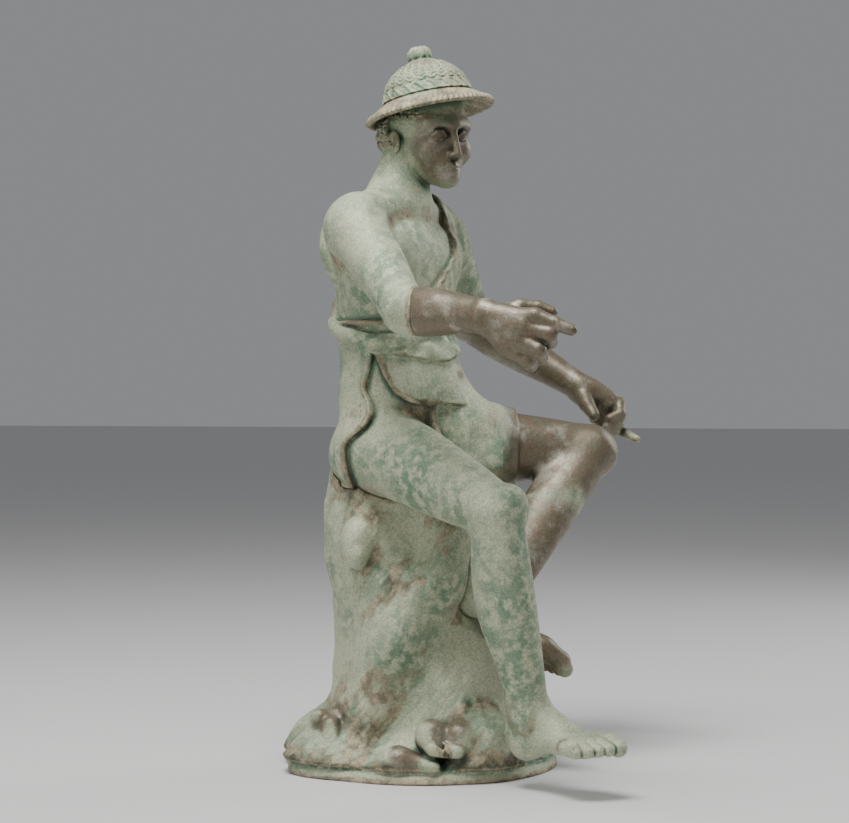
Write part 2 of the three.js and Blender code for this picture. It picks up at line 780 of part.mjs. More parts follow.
// The larger of two values, with a soft corner of the given width
function softMax(soft, a, b) {
  const h = Math.max(soft - Math.abs(a - b), 0)
  return Math.max(a, b) + (h * h) / (4 * soft)
}

// A bell-shaped rise, one at the place and gone about two widths away
const bell = (value, place, width) => Math.exp(-(((value - place) / width) ** 2))

function tunic(body) {
  const lap = [
    rod(point(-12, -14, 252), point(2, -56, 243), 24, 15),
    rod(point(2, -20, 262), point(36, -46, 257), 24, 18),
    egg(point(-9, -4, 286), 20, 36, 36),
  ]
  const form = join(26, [body, ...lap])
  const thigh = LEFT_KNEE.clone().sub(LEFT_HIP).normalize()
  const distance = (x, y, z) => {
    const loose = form.distance(x, y, z)
    if (loose > 16 || loose < -16) return loose
    const behind = y - through(SLIT_BACK, z)
    const slit = Math.max(x + 30, through(SLIT_FRONT, z) - y, behind)
    const bareThigh = Math.max((x - through(THIGH_EDGE, y)) * 0.7, behind)
    const alongThigh = (x - LEFT_HIP.x) * thigh.x + (y - LEFT_HIP.y) * thigh.y + (z - LEFT_HIP.z) * thigh.z
    const bareChest = (through(NECKLINE, z) - x) * 0.8
    const upper = Math.max(bareChest, 325 - z, x - 58)
    const lower = Math.max(-0.8 * Math.min(slit, bareThigh), alongThigh - HEM, z - 335, HEM_LOW - z)
    const edge = Math.min(upper, lower)
    const turn = Math.atan2(x + 9, 20 - y)
    const skirt = Math.min(1, Math.max(0, (318 - z) / 30))
    const folds = skirt * Math.sin(9 * turn + z * 0.05)
    const overfold = 2.2 * Math.min(1, Math.max(0, (z - 315) / 3)) * Math.min(1, Math.max(0, (348 - z) / 3))
    const thickness = CLOTH + 1.5 * bell(edge, -3.4, 3) + folds + overfold
    const hug = Math.min(1, Math.max(0, -edge / 22))
    const close = hug < 1 ? body.distance(x, y, z) : loose
    return softMax(2, close + (loose - close) * hug * hug * (3 - 2 * hug) - thickness, edge)
  }
  return shape(form.centre, form.reach + 6, distance)
}

// The rolled belt, low on the right side
function belt() {
  const knots = []
  const steps = 26
  for (let i = 0; i <= steps; i++) {
    const turn = (i / steps) * 2 * Math.PI
    const height = 335 - 3 * Math.cos(turn) + 5 * Math.sin(turn)
    knots.push(point(-9 + 49 * Math.sin(turn), 21 - 42 * Math.cos(turn) - 2, height))
  }
  return join(0.5, knots.slice(1).map((knot, i) => rod(knots[i], knot, 5 + Math.sin(i * 1.3), 5 + Math.sin(i * 1.3 + 1.3))))
}

// The rock and the ground

// A wavy value between about -1 and 1 made of a few slanted waves
function waves(x, y, z) {
  return (
    Math.sin(x * 0.062 + 1.3 * Math.sin(z * 0.041) + 0.4) * Math.cos(y * 0.055 + 0.9 * Math.sin(x * 0.037)) * 0.6 +
    Math.sin(y * 0.11 + z * 0.073 + 1.7) * Math.cos(x * 0.093 - z * 0.052) * 0.3
  )
}

function rock() {
  const column = limb(point(-9, 18, 4), point(-9, 20, 226), FRONT, LEFT, {
    front: [92, 88, 80, 66, 54, 56, 62, 58],
    back: [76, 58, 49, 48, 50, 54, 56, 50],
    outer: [84, 66, 60, 58, 60, 64, 64, 58],
    inner: [78, 60, 52, 50, 52, 56, 58, 54],
  }, 0.3)
  const plate = limb(point(0, 0, 0), point(0, 0, 10), FRONT, LEFT, {
    front: [104, 102, 98],
    back: [104, 102, 98],
    outer: [103, 101, 97],
    inner: [104, 102, 98],
  }, 0.06)
  const creatures = [
    egg(point(-76, 40, 33), 15, 14, 17),
    egg(point(-70, -56, 36), 24, 15, 13, frame(point(0.47, -0.88, 0.05), UP)),
    egg(point(-92, -34, 18), 20, 14, 10, frame(point(0.47, -0.88, 0), UP)),
  ]
  const humps = [
    egg(point(-44, -80, 32), 20, 20, 20),
    egg(point(-76, 44, 10), 26, 24, 22),
    egg(point(54, 34, 22), 32, 30, 22),
    egg(point(44, -46, 18), 28, 28, 18),
    egg(point(-20, 76, 18), 22, 30, 20),
    egg(point(-66, 24, 176), 12, 11, 14),
  ]
  const ridge = [point(-32, -36, 176), point(-42, -26, 145), point(-54, -4, 102), point(-60, 16, 50)]
  const ridges = ridge.slice(1).map((place, i) => rod(ridge[i], place, 16, 16))
  const body = join(18, [column, plate, ...humps, ...ridges])
  const side = frame(point(-0.883, -0.469, 0), UP)
  const hollows = join(12, [
    egg(point(-56, -14, 165), 13, 15, 30, side),
    egg(point(-58, -16, 205), 14, 28, 20, side),
    egg(point(-70, 22, 150), 8, 9, 10, side),
    egg(point(-40, -52, 92), 13, 18, 26, side),
  ])
  const carved = shape(body.centre, body.reach, (x, y, z) => softMax(10, body.distance(x, y, z), -hollows.distance(x, y, z)))
  const grown = join(3, [carved, ...creatures])
  const distance = (x, y, z) => {
    const d = grown.distance(x, y, z)
    if (Math.abs(d) > 12) return Math.max(d, -z)
    return Math.max(d - 3.2 * waves(x, y, z) * Math.min(1, Math.max(z - 2, 0) / 12), -z)
  }
  return shape(grown.centre, grown.reach + 5, distance)
}

// Assembly

function figure() {
  const rightLeg = leg(RIGHT_HIP, RIGHT_KNEE, RIGHT_ANKLE, RIGHT, point(0.25, -0.97, 0.1).normalize())
  const leftLeg = leg(LEFT_HIP, LEFT_KNEE, LEFT_ANKLE, LEFT, point(0.45, -0.75, -0.5).normalize())
  const rightFoot = foot(RIGHT_KNEE, RIGHT_ANKLE, point(-64, -107, 22), frame(point(-0.25, -0.96, 0.1), UP), 1, 98)
  const leftFootAxes = frame(point(0.38, -0.72, -0.59), point(0.5, -0.3, 0.8))
  const leftFoot = foot(LEFT_KNEE, LEFT_ANKLE, point(-25, -32, 132), leftFootAxes, -1, 114)
  const trunk = torso()
  const legs = remembered(join(12, [trunk, rightLeg, leftLeg]))
  const body = join(10, [legs, upperArm(LEFT_SHOULDER, LEFT_ELBOW, LEFT), upperArm(RIGHT_SHOULDER, RIGHT_ELBOW, RIGHT)])
  const arm = join(6, [
    body,
    forearm(LEFT_ELBOW, LEFT_WRIST, UP, LEFT),
    forearm(RIGHT_ELBOW, RIGHT_WRIST, UP, RIGHT),
    rightFoot,
    leftFoot,
  ])
  const dressed = join(1.5, [arm, tunic(legs), belt()])
  return join(2, [dressed, leftHand(), head(), hat()])
}

const SEAM_POINT = point(-129, -62, 347)
const SEAM_NORMAL = point(0.275, -0.961, 0).normalize()

function rightForearm() {
  return join(5, [forearm(RIGHT_ELBOW, RIGHT_WRIST, UP, RIGHT), rightHand()])
}

// A standard mesh from corner places and faces
function meshOf(name, { corners, faces }, color, roughness) {
  const geometry = new THREE.BufferGeometry()
  geometry.setAttribute('position', new THREE.Float32BufferAttribute(corners, 3))
  geometry.setIndex(Array.from(faces))
  geometry.computeVertexNormals()
  const material = new THREE.MeshStandardMaterial({ color, roughness, metalness: 0.6 })
  const mesh = new THREE.Mesh(geometry, material)
  mesh.name = name
  return mesh
}

const wasm = await Module()
wasm.setup()

function solid({ corners, faces }) {
  const vertProperties = Float32Array.from(corners)
  const triVerts = Uint32Array.from(faces)
  return new wasm.Manifold(new wasm.Mesh({ numProp: 3, vertProperties, triVerts }))
}

function facets(manifold) {
  const { vertProperties, triVerts } = manifold.getMesh()
  return { corners: Array.from(vertProperties), faces: Array.from(triVerts) }
}

// A big box that begins at the seam plane, moved by the given amount, and reaches over the hand
function beyondSeam(offset) {
  const size = 160
  const box = mergeVertices(stripped(new THREE.BoxGeometry(size, size, size)))
  box.applyMatrix4(new THREE.Matrix4().makeBasis(SEAM_NORMAL.clone().cross(UP), SEAM_NORMAL, UP.clone()))
  const middle = SEAM_POINT.clone().addScaledVector(SEAM_NORMAL, size / 2 + offset)
  box.translate(middle.x, middle.y, middle.z)
  return solid({ corners: box.attributes.position.array, faces: box.index.array })
}

function stripped(geometry) {
  geometry.deleteAttribute('normal')
  geometry.deleteAttribute('uv')
  return geometry
}

// The same surface moved outward along its normals
function swollen({ corners, faces }, by) {
  const geometry = new THREE.BufferGeometry()
  geometry.setAttribute('position', new THREE.Float32BufferAttribute(corners, 3))
  geometry.setIndex(faces)
  geometry.computeVertexNormals()
  const normals = geometry.attributes.normal.array
  return { corners: corners.map((value, i) => value + normals[i] * by), faces }
}

const figureFine = surface(figure(), point(-175, -225, 10), point(175, 95, 566), FIGURE_CELL)
const forearmFine = surface(rightForearm(), point(-175, -205, 290), point(-95, -20, 375), ARM_CELL)
const rockFine = surface(rock(), point(-115, -115, -2), point(115, 115, 250), ROCK_CELL)
const figureSolid = solid(simplify(figureFine, FIGURE_FACES)).subtract(beyondSeam(-SEAM_GAP / 2))
const forearmSolid = solid(simplify(forearmFine, ARM_FACES)).intersect(beyondSeam(SEAM_GAP / 2))
const figureFacets = facets(figureSolid)
const rockSolid = solid(simplify(rockFine, ROCK_FACES))
  .subtract(solid(swollen(figureFacets, SEAT_GAP)))
  .subtract(figureSolid)

const statue = new THREE.Group()
statue.add(meshOf('figure', figureFacets, BRONZE_GREEN, 0.55))
statue.add(meshOf('right_forearm', facets(forearmSolid), BRONZE_BROWN, 0.5))
statue.add(meshOf('rock_seat', facets(rockSolid), BRONZE_GREEN, 0.6))
export default statue
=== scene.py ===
"""A seated bronze youth in a straw hat and a short tunic, on a rock with sea creatures at its foot.

Lengths are millimetres until a mesh is made. The youth faces -Y, his right side is towards -X, +Z is up and
the origin is the middle of the underside of the base.
"""

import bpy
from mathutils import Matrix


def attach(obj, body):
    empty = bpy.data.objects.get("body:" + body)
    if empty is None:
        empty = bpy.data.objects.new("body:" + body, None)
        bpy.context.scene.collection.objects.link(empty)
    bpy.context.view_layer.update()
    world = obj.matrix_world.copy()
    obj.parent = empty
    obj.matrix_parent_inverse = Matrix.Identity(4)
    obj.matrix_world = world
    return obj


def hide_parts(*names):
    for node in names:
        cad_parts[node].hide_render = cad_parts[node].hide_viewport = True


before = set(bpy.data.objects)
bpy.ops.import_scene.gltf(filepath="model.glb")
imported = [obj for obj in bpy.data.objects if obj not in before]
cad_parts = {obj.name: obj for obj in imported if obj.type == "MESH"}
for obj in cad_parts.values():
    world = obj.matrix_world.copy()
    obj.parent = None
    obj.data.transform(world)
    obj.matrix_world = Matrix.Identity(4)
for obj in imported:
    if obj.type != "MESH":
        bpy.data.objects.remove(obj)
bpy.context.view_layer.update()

from concurrent.futures import ThreadPoolExecutor

import bpy
import numpy as np
from mathutils import Vector

# Grid steps of the surfaces and the number of triangles that each piece keeps
FIGURE_CELL = 1.25
ARM_CELL = 1.0
ROCK_CELL = 1.3
FIGURE_TRIANGLES = 190000
ARM_TRIANGLES = 40000
ROCK_TRIANGLES = 150000
SEAM_GAP = 0.35
SEAT_GAP = 0.5


def point(x, y, z):
    return np.array([x, y, z], dtype=float)


# Places of the joints
HEAD = point(0.6, -3, 489)
RIGHT_HIP = point(-41, 15, 245)
LEFT_HIP = point(23, 15, 246)
RIGHT_KNEE = point(-100, -113, 203)
LEFT_KNEE = point(99, -101, 244)
RIGHT_ANKLE = point(-71, -125, 57)
LEFT_ANKLE = point(3, -69, 136)
RIGHT_SHOULDER = point(-79, 18, 416)
LEFT_SHOULDER = point(63, 18, 414)
RIGHT_ELBOW = point(-126, -51, 348)
LEFT_ELBOW = point(136, 27, 351)
RIGHT_WRIST = point(-148, -126, 341)
LEFT_WRIST = point(137, -72, 295)

FRONT = point(0, -1, 0)
UP = point(0, 0, 1)
LEFT = point(1, 0, 0)
RIGHT = point(-1, 0, 0)


# Forms. Each one gives the distance of many points to its surface, negative inside, and knows the ball that
# holds it, so that it is skipped where it is far away.


class Form:
    def __init__(self, middle, reach, distance):
        self.middle = middle
        self.reach = reach
        self.distance = distance


SKIP = 26.0


def far_from(form, ball):
    """True where a form is too far from a ball of points to matter there."""
    return ball is not None and np.linalg.norm(form.middle - ball[0]) - form.reach - ball[1] > SKIP


def rod(a, b, ra, rb):
    """A tapered rod with round ends: distance to a cone between two balls."""
    axis = b - a
    length = np.linalg.norm(axis)
    axis = axis / length
    slope = (ra - rb) / length
    cosine = np.sqrt(1 - slope * slope)

    def distance(p, ball=None):
        q = p - a
        along = q @ axis
        across = np.sqrt(np.maximum((q * q).sum(1) - along * along, 0))
        shifted = along - (slope / cosine) * across
        side = across * cosine + along * slope - ra
        start = np.sqrt(along**2 + across**2) - ra
        end = np.sqrt((along - length) ** 2 + across**2) - rb
        return np.where(shifted < 0, start, np.where(shifted > length, end, side))

    return Form((a + b) / 2, length / 2 + max(ra, rb), distance)


def axes_of(forward, up):
    """Three unit vectors as rows: forward, its left hand side, and up."""
    f = forward / np.linalg.norm(forward)
    u = up - (up @ f) * f
    u = u / np.linalg.norm(u)
    return np.array([f, np.cross(u, f), u])


UPRIGHT = axes_of(FRONT, UP)


def egg(centre, front, side, up, axes=UPRIGHT):
    """An ellipsoid: near * (near - 1) / steepness, with near the length in units of its half sizes."""
    sizes = np.array([front, side, up], dtype=float)
    turn = axes.T / sizes

    def distance(p, ball=None):
        q = (p - centre) @ turn
        near = np.sqrt((q * q).sum(1))
        steep = np.sqrt(((q / sizes) ** 2).sum(1))
        return near * (near - 1) / np.maximum(steep, 1e-9)

    return Form(centre, max(front, side, up), distance)


def curve(values):
    """A smooth curve through evenly spread values, over 0 to 1."""
    values = np.asarray(values, dtype=float)
    last = len(values) - 1
    t = np.linspace(0, last, 49)
    k = np.minimum(np.floor(t).astype(int), last - 1)
    w = t - k
    before = values[np.maximum(k - 1, 0)]
    after = values[np.minimum(k + 2, last)]
    a = values[k]
    b = values[k + 1]
    bend = (2 * before - 5 * a + 4 * b - after) * w + (3 * (a - b) + after - before) * w * w
    table = a + 0.5 * w * (b - before + bend)
    places = t / last
    return lambda x: np.interp(x, places, table)


def limb(a, b, forward, outward, front, back, outer, inner, cap=0.7):
    """A limb from a to b whose half widths to the front, back, outer and inner side are curves along it."""
    axis = b - a
    length = np.linalg.norm(axis)
    axis = axis / length
    f = forward - (forward @ axis) * axis
    f = f / np.linalg.norm(f)
    s = np.cross(axis, f)
    if s @ outward < 0:
        s = -s
    ahead_width, behind_width = curve(front), curve(back)
    outer_width, inner_width = curve(outer), curve(inner)
    widest = max(*front, *back, *outer, *inner)

    def distance(p, ball=None):
        q = p - a
        along = q @ axis
        t = np.clip(along / length, 0, 1)
        over = along - t * length
        ahead = q @ f
        aside = q @ s
        h = np.where(ahead > 0, ahead_width(t), behind_width(t))
        w = np.where(aside > 0, outer_width(t), inner_width(t))
        tip = cap * np.minimum(h, w)
        x, y, z = ahead / h, aside / w, over / tip
        near = np.sqrt(x * x + y * y + z * z)
        steep = np.sqrt((x / h) ** 2 + (y / w) ** 2 + (z / tip) ** 2)
        return near * (near - 1) / np.maximum(steep, 1e-9)

    return Form((a + b) / 2, length / 2 + widest, distance)


def soft_min(soft, a, b):
    h = np.maximum(soft - np.abs(a - b), 0)
    return np.minimum(a, b) - h * h / (4 * soft)


def soft_max(soft, a, b):
    return -soft_min(soft, -a, -b)


def join(soft, forms):
    """Forms grown together, with a soft joint of the given width."""
    low = np.min([form.middle - form.reach for form in forms], axis=0)
    high = np.max([form.middle + form.reach for form in forms], axis=0)
    middles = np.array([form.middle for form in forms])
    reaches = np.array([form.reach for form in forms]) + SKIP

    def distance(p, ball=None):
        near = forms
        if ball is not None:
            off = middles - ball[0]
            close = np.sqrt((off * off).sum(1)) < reaches + ball[1]
            near = [form for form, yes in zip(forms, close) if yes]
        if not near:
            return np.full(len(p), 1e3)
        best = near[0].distance(p, ball)
        for form in near[1:]:
            best = soft_min(soft, best, form.distance(p, ball))
        return best

    return Form((low + high) / 2, np.linalg.norm(high - low) / 2, distance)


def carve(soft, form, tools):
    """A form with others cut out of it, with a soft edge."""
    tool = join(soft, tools)

    def distance(p, ball=None):
        d = form.distance(p, ball)
        return d if far_from(tool, ball) else soft_max(soft, d, -tool.distance(p, ball))

    return Form(form.middle, form.reach, distance)


def raised(form, height, reach=2.0):
    """A form whose surface is lifted by height(points), where that is near enough to matter."""

    def distance(p, ball=None):
        d = form.distance(p, ball)
        near = np.abs(d) < 8
        if near.any():
            d[near] -= height(p[near])
        return d

    return Form(form.middle, form.reach + reach, distance)


def bell(value, place, width):
    """A rise that is one at the place and gone about two widths away."""
    return np.exp(-(((value - place) / width) ** 2))


def ramp(value, start, end):
    """Zero before start, one after end and smooth between them."""
    t = np.clip((value - start) / (end - start), 0, 1)
    return t * t * (3 - 2 * t)


def through(pairs, place):
    """A piecewise straight function through (place, value) pairs."""
    places, values = zip(*pairs)
    return np.interp(place, places, values)


# Surfaces of forms


def values_of(form, p, step=None):
    """A form's distances at many points, taken block by block so that far parts are skipped."""
    if step is None:
        step = 26.0 if len(p) > 1500000 else 36.0 if len(p) > 300000 else 48.0
    block = np.floor(p / step).astype(np.int64)
    block -= block.min(0)
    size = block.max(0) + 1
    key = (block[:, 0] * size[1] + block[:, 1]) * size[2] + block[:, 2]
    order = np.argsort(key, kind="stable")
    cuts = np.flatnonzero(np.diff(key[order])) + 1
    result = np.empty(len(p))

    def fill(part):
        q = p[part]
        low, high = q.min(0), q.max(0)
        ball = ((low + high) / 2, np.linalg.norm(high - low) / 2)
        result[part] = form.distance(q, ball)

    with ThreadPoolExecutor(4) as pool:
        list(pool.map(fill, np.split(order, cuts)))
    return result


def slopes_of(form, p, step=0.25):
    """Unit normals of a form at many points, from distances at the corners of a small tetrahedron."""
    corners = np.array([[1, 1, 1], [1, -1, -1], [-1, 1, -1], [-1, -1, 1]], dtype=float)
    total = sum(corner * values_of(form, p + corner * step)[:, None] for corner in corners)
    return total / np.maximum(np.linalg.norm(total, axis=1, keepdims=True), 1e-9)


def grid_surface(form, low, high, cell):
    """Quads of a form's surface on an even grid: one corner in each cell that the surface crosses.

    The corner is the mean of the crossings on the cell's edges. Only the blocks of the grid that the surface
    can reach are worked out.
    """
    low, high = np.asarray(low, float), np.asarray(high, float)
    block = 6
    blocks = np.ceil((high - low) / (cell * block)).astype(int)
    count = blocks * block + 1
    middles = (np.indices(blocks).reshape(3, -1).T + 0.5) * (block * cell) + low
    guess = values_of(form, middles, 60.0)
    values = np.repeat(np.repeat(np.repeat(guess.reshape(blocks), block, 0), block, 1), block, 2)
    values = np.pad(values, ((0, 1), (0, 1), (0, 1)), mode="edge").astype(np.float32)
    near = np.abs(guess) < block * cell * 1.3
    starts = np.indices(blocks).reshape(3, -1).T[near] * block
    steps = np.indices((block + 1,) * 3).reshape(3, -1).T
    places = (starts[:, None, :] + steps[None]).reshape(-1, 3)
    keys = np.unique((places[:, 0] * count[1] + places[:, 1]) * count[2] + places[:, 2])
    nodes = np.stack(np.unravel_index(keys, count), 1)
    values.reshape(-1)[keys] = values_of(form, nodes * cell + low)
    values[values == 0] = 1e-6
    inside = values < 0
    sums = {}
    quads = []
    for axis in range(3):
        head = [slice(None)] * 3
        tail = [slice(None)] * 3
        head[axis] = slice(0, -1)
        tail[axis] = slice(1, None)
        change = inside[tuple(head)] != inside[tuple(tail)]
        at = np.stack(np.nonzero(change), 1)
        b, c = (axis + 1) % 3, (axis + 2) % 3
        at = at[(at[:, b] > 0) & (at[:, c] > 0)]
        first = values[tuple(at.T)]
        step = np.zeros(3, int)
        step[axis] = 1
        second = values[tuple((at + step).T)]
        cross = at.astype(float)
        cross[:, axis] += first / (first - second)
        corners = []
        for db, dc in ((0, 0), (-1, 0), (-1, -1), (0, -1)):
            box = at.copy()
            box[:, b] += db
            box[:, c] += dc
            corners.append((box[:, 0] * count[1] + box[:, 1]) * count[2] + box[:, 2])
        quad = np.stack(corners, 1)
        quad[first > 0] = quad[first > 0][:, ::-1]
        quads.append((quad, cross))
    quad = np.concatenate([q for q, _ in quads])
    cross = np.concatenate([c for _, c in quads])
    names, index = np.unique(quad, return_inverse=True)
    index = index.reshape(quad.shape)
    total = np.bincount(index.ravel(), minlength=len(names))
    corner = np.stack(
        [np.bincount(index.ravel(), np.repeat(cross[:, k], 4), len(names)) / total for k in range(3)], 1
    )
    return corner * cell + low, index


def split_quads(corners, quads):
    """Two triangles from each quad, along its shorter diagonal."""
    a, b, c, d = (corners[quads[:, k]] for k in range(4))
    short = np.linalg.norm(a - c, axis=1) <= np.linalg.norm(b - d, axis=1)
    one = np.where(short[:, None], quads[:, [0, 1, 2]], quads[:, [0, 1, 3]])
    two = np.where(short[:, None], quads[:, [0, 2, 3]], quads[:, [1, 2, 3]])
    return np.concatenate([one, two])


def refine(corners, triangles, wanted):
    """Splits the triangles on every edge whose middle is wanted, and leaves no gaps beside them."""
    edges = triangles[:, [0, 1, 1, 2, 2, 0]].reshape(-1, 2)
    edges.sort(axis=1)
    unique, index = np.unique(edges, axis=0, return_inverse=True)
    index = index.reshape(-1, 3)
    middle = (corners[unique[:, 0]] + corners[unique[:, 1]]) / 2
    chosen = wanted(middle)
    number = np.full(len(unique), -1)
    number[chosen] = len(corners) + np.arange(chosen.sum())
    corners = np.concatenate([corners, middle[chosen]])
    mid = number[index]
    has = mid >= 0
    many = has.sum(1)
    result = [triangles[many == 0]]
    full = many == 3
    a, b, c = triangles[full].T
    x, y, z = mid[full].T
    result += [np.stack(t, 1) for t in ((a, x, z), (x, b, y), (z, y, c), (x, y, z))]
    for k in range(3):
        turn = [k, (k + 1) % 3, (k + 2) % 3]
        one = (many == 1) & has[:, k]
        a, b, c = triangles[one][:, turn].T
        x = mid[one][:, k]
        result += [np.stack(t, 1) for t in ((a, x, c), (x, b, c))]
        two = (many == 2) & ~has[:, k]
        a, b, c = triangles[two][:, turn].T
        y, z = mid[two][:, turn[1]], mid[two][:, turn[2]]
        result += [np.stack(t, 1) for t in ((c, z, y), (a, y, z), (a, b, y))]
    return corners, np.concatenate(result)


def settle(form, corners, rounds=2, limit=1.0):
    """Moves corners along the form's normals onto its surface, a short way at most."""
    for _ in range(rounds):
        off = np.clip(values_of(form, corners), -limit, limit)
        corners = corners - off[:, None] * slopes_of(form, corners)
    return corners


# The body


def torso():
    trunk = limb(
        point(-9, 21, 222), point(-8, 20, 440), FRONT, LEFT,
        front=[28, 36, 40, 37, 36, 38, 33, 16],
        back=[30, 34, 39, 40, 44, 45, 40, 16],
        outer=[44, 52, 50, 46, 49, 56, 58, 20],
        inner=[44, 52, 50, 46, 49, 56, 58, 20],
        cap=0.5,
    )
    chest = [egg(point(-9 + side * 25, -1, 398), 11, 30, 20) for side in (-1, 1)]
    blades = [egg(point(-9 + side * 36, 50, 404), 14, 22, 26) for side in (-1, 1)]
    collar = [
        rod(point(-16, 3, 436), RIGHT_SHOULDER + point(6, -6, 12), 6, 8),
        rod(point(0, 3, 436), LEFT_SHOULDER + point(-6, -6, 12), 6, 8),
        rod(point(-12, 22, 444), RIGHT_SHOULDER + point(8, 4, 6), 15, 15),
        rod(point(-4, 22, 444), LEFT_SHOULDER + point(-8, 2, 6), 15, 15),
    ]
    neck = limb(
        point(-8, 20, 430), point(-5, 12, 482), FRONT, LEFT,
        front=[22, 20, 20, 21], back=[26, 23, 21, 20], outer=[26, 22, 20.5, 20], inner=[26, 22, 20.5, 20],
    )
    belly = egg(point(-9, -2, 290), 18, 32, 32)
    seat = [egg(point(-37, 27, 242), 30, 29, 25), egg(point(19, 27, 242), 30, 29, 25)]
    spine = [rod(point(-9, 68, 320), point(-8, 71, 425), 3, 3)]
    return carve(10, join(14, [trunk, *chest, *blades, *collar, neck, belly, *seat]), spine)


def upper_arm(shoulder, elbow, outward):
    muscle = limb(
        shoulder, elbow, point(0, -1, 0.3), outward,
        front=[20, 21, 20.5, 18, 16.5], back=[21, 22, 20, 18, 17],
        outer=[20, 21, 19, 17, 16.5], inner=[19, 20, 19, 17, 16],
    )
    cap = egg(shoulder + outward + point(0, 0, -4), 22, 21, 24)
    return join(10, [muscle, cap])


def forearm(elbow, wrist, up, outward):
    return limb(
        elbow, wrist, up, outward,
        front=[16.5, 17.5, 16.5, 14, 12], back=[17.5, 18, 16, 13, 11],
        outer=[16.5, 18, 16.5, 13, 11], inner=[16.5, 17.5, 16, 13, 11],
    )


def finger(joints, radii):
    """A finger through its joints, with a radius at each."""
    joints = [point(*joint) for joint in joints]
    return join(1.5, [rod(*pair) for pair in zip(joints[:-1], joints[1:], radii[:-1], radii[1:])])


def right_hand():
    """The pointing right hand, held upright with the palm towards the body."""
    palm = limb(
        RIGHT_WRIST, point(-150, -156, 330), RIGHT, UP,
        front=[11, 9.5, 8.5, 7], back=[11, 10, 9, 8], outer=[11.5, 13, 13.5, 13], inner=[12.5, 15, 18, 17],
    )
    heel = egg(point(-144, -142, 326), 12, 9, 13)
    index = finger([(-147, -150, 339), (-148, -164, 340), (-145, -178, 335), (-142, -189, 330.5)],
                   [7.5, 6.2, 5, 4])
    middle = finger([(-150, -153, 333), (-147, -174, 328), (-136, -170, 323), (-133, -160, 325)],
                    [7, 5.8, 5, 4.5])
    ring = finger([(-151, -150, 325), (-149.5, -167, 317), (-138, -164, 313), (-134, -154, 317)],
                  [7, 5.8, 5, 4.5])
    little = finger([(-149, -146, 318), (-148.5, -159, 310), (-139, -157, 307), (-134, -148, 311)],
                    [6.5, 5.2, 4.6, 4.2])
    thumb = finger([(-142, -133, 341), (-135, -147, 347), (-129, -158, 347), (-126, -167, 344)],
                   [8, 6.3, 5, 4])
    return join(4, [palm, heel, join(2.2, [index, middle, ring, little]), thumb])


def left_hand():
    """The loosely closed left hand beside the knee."""
    palm = limb(
        LEFT_WRIST, point(144, -94, 282), point(1, 0.2, 0.3), UP,
        front=[11, 9, 8, 7], back=[11, 9, 7, 6], outer=[12, 13, 12.5, 11], inner=[13, 15, 15, 14],
    )
    index = finger([(143, -91, 288), (147, -104, 281), (141, -107, 273), (134, -101, 269)], [6.6, 5.4, 4.8, 4.2])
    middle = finger([(146, -91, 283), (149, -103, 273), (141, -105, 265), (134, -99, 263)], [6.6, 5.6, 4.8, 4.2])
    ring = finger([(146, -88, 276), (148, -100, 265), (140, -102, 259), (134, -96, 259)], [6.6, 5.4, 4.8, 4.2])
    little = finger([(145, -84, 270), (150, -99, 261), (151, -109, 256), (150, -118, 252.5)], [6, 4.8, 3.8, 3])
    thumb = finger([(134, -76, 290), (126, -84, 281), (122, -92, 272)], [8.5, 6.5, 4.8])
    return join(4, [palm, join(2, [index, middle, ring, little]), thumb])


def leg(hip, knee, ankle, outward, shin_front):
    thigh = limb(
        hip, knee, UP, outward,
        front=[31, 33, 29.5, 25, 20], back=[33, 30, 27, 24, 20],
        outer=[33, 31, 28, 24, 20], inner=[30, 30, 27, 23, 19.5],
    )
    shank = limb(
        knee, ankle, shin_front, outward,
        front=[17, 17, 16.5, 15, 13.5], back=[19, 26, 27, 20, 14.5],
        outer=[20, 22, 20.5, 15.5, 12], inner=[20, 21.5, 20, 15, 12],
    )
    kneecap = egg(knee + shin_front * 10 + point(0, 0, 3), 10, 12, 14)
    return join(9, [thigh, shank, kneecap])


def foot(knee, ankle, origin, axes, inside, length):
    """A foot in axes whose origin is under the heel. inside is 1 where the big toe is on their left."""
    scale = length / 100
    forward, side, up = axes

    def at(f, s, u):
        return origin + scale * (f * forward + s * inside * side + u * up)

    heel = egg(at(14, 0, 14), 14, 12.5, 15, axes)
    middle = limb(
        at(16, 0, 12), at(72, 1, 9), up, side * inside,
        front=[20, 19, 15, 10, 6.5], back=[12, 9, 8, 8.5, 8.5],
        outer=[12, 12, 14, 18, 19], inner=[12, 13, 16, 18, 18],
    )
    instep = rod(ankle, at(50, 2, 17), 14, 9.5)
    tendon = rod(at(8, 0, 20), ankle + (knee - ankle) * 0.16 - forward * 7, 8, 8)
    knuckles = [
        egg(ankle + side * inside * 10 + up * 2, 8, 6, 8, axes),
        egg(ankle - side * inside * 10 - up * 3, 8, 6, 8, axes),
    ]
    toes = [
        finger([at(72, start, 9), at(reach - 12, end, 8.5), at(reach - tip, end, 5.5)], [root + 1, root, tip])
        for start, end, reach, root, tip in (
            (11.5, 11.5, 98, 7.4, 6.4),
            (3.2, 1.5, 95, 5.6, 4.8),
            (-4, -5.5, 91, 5.2, 4.5),
            (-10.5, -12.5, 87, 5, 4.3),
            (-16, -18, 80, 4.8, 4),
        )
    ]
    return join(8, [heel, middle, instep, tendon, *knuckles, join(0.8, toes)])


# The head, turned a little to his right, and the hat

HEAD_AXES = axes_of(point(-0.44, -0.89, -0.1), point(-0.02, 0.05, 1))
HAT_AXIS = point(-0.06, 0.18, 0.98) / np.linalg.norm(point(-0.06, 0.18, 0.98))
HAT_CENTRE = point(2, -4, 510)


def on_head(forward, side, up):
    return HEAD + np.array([forward, side, up], dtype=float) @ HEAD_AXES


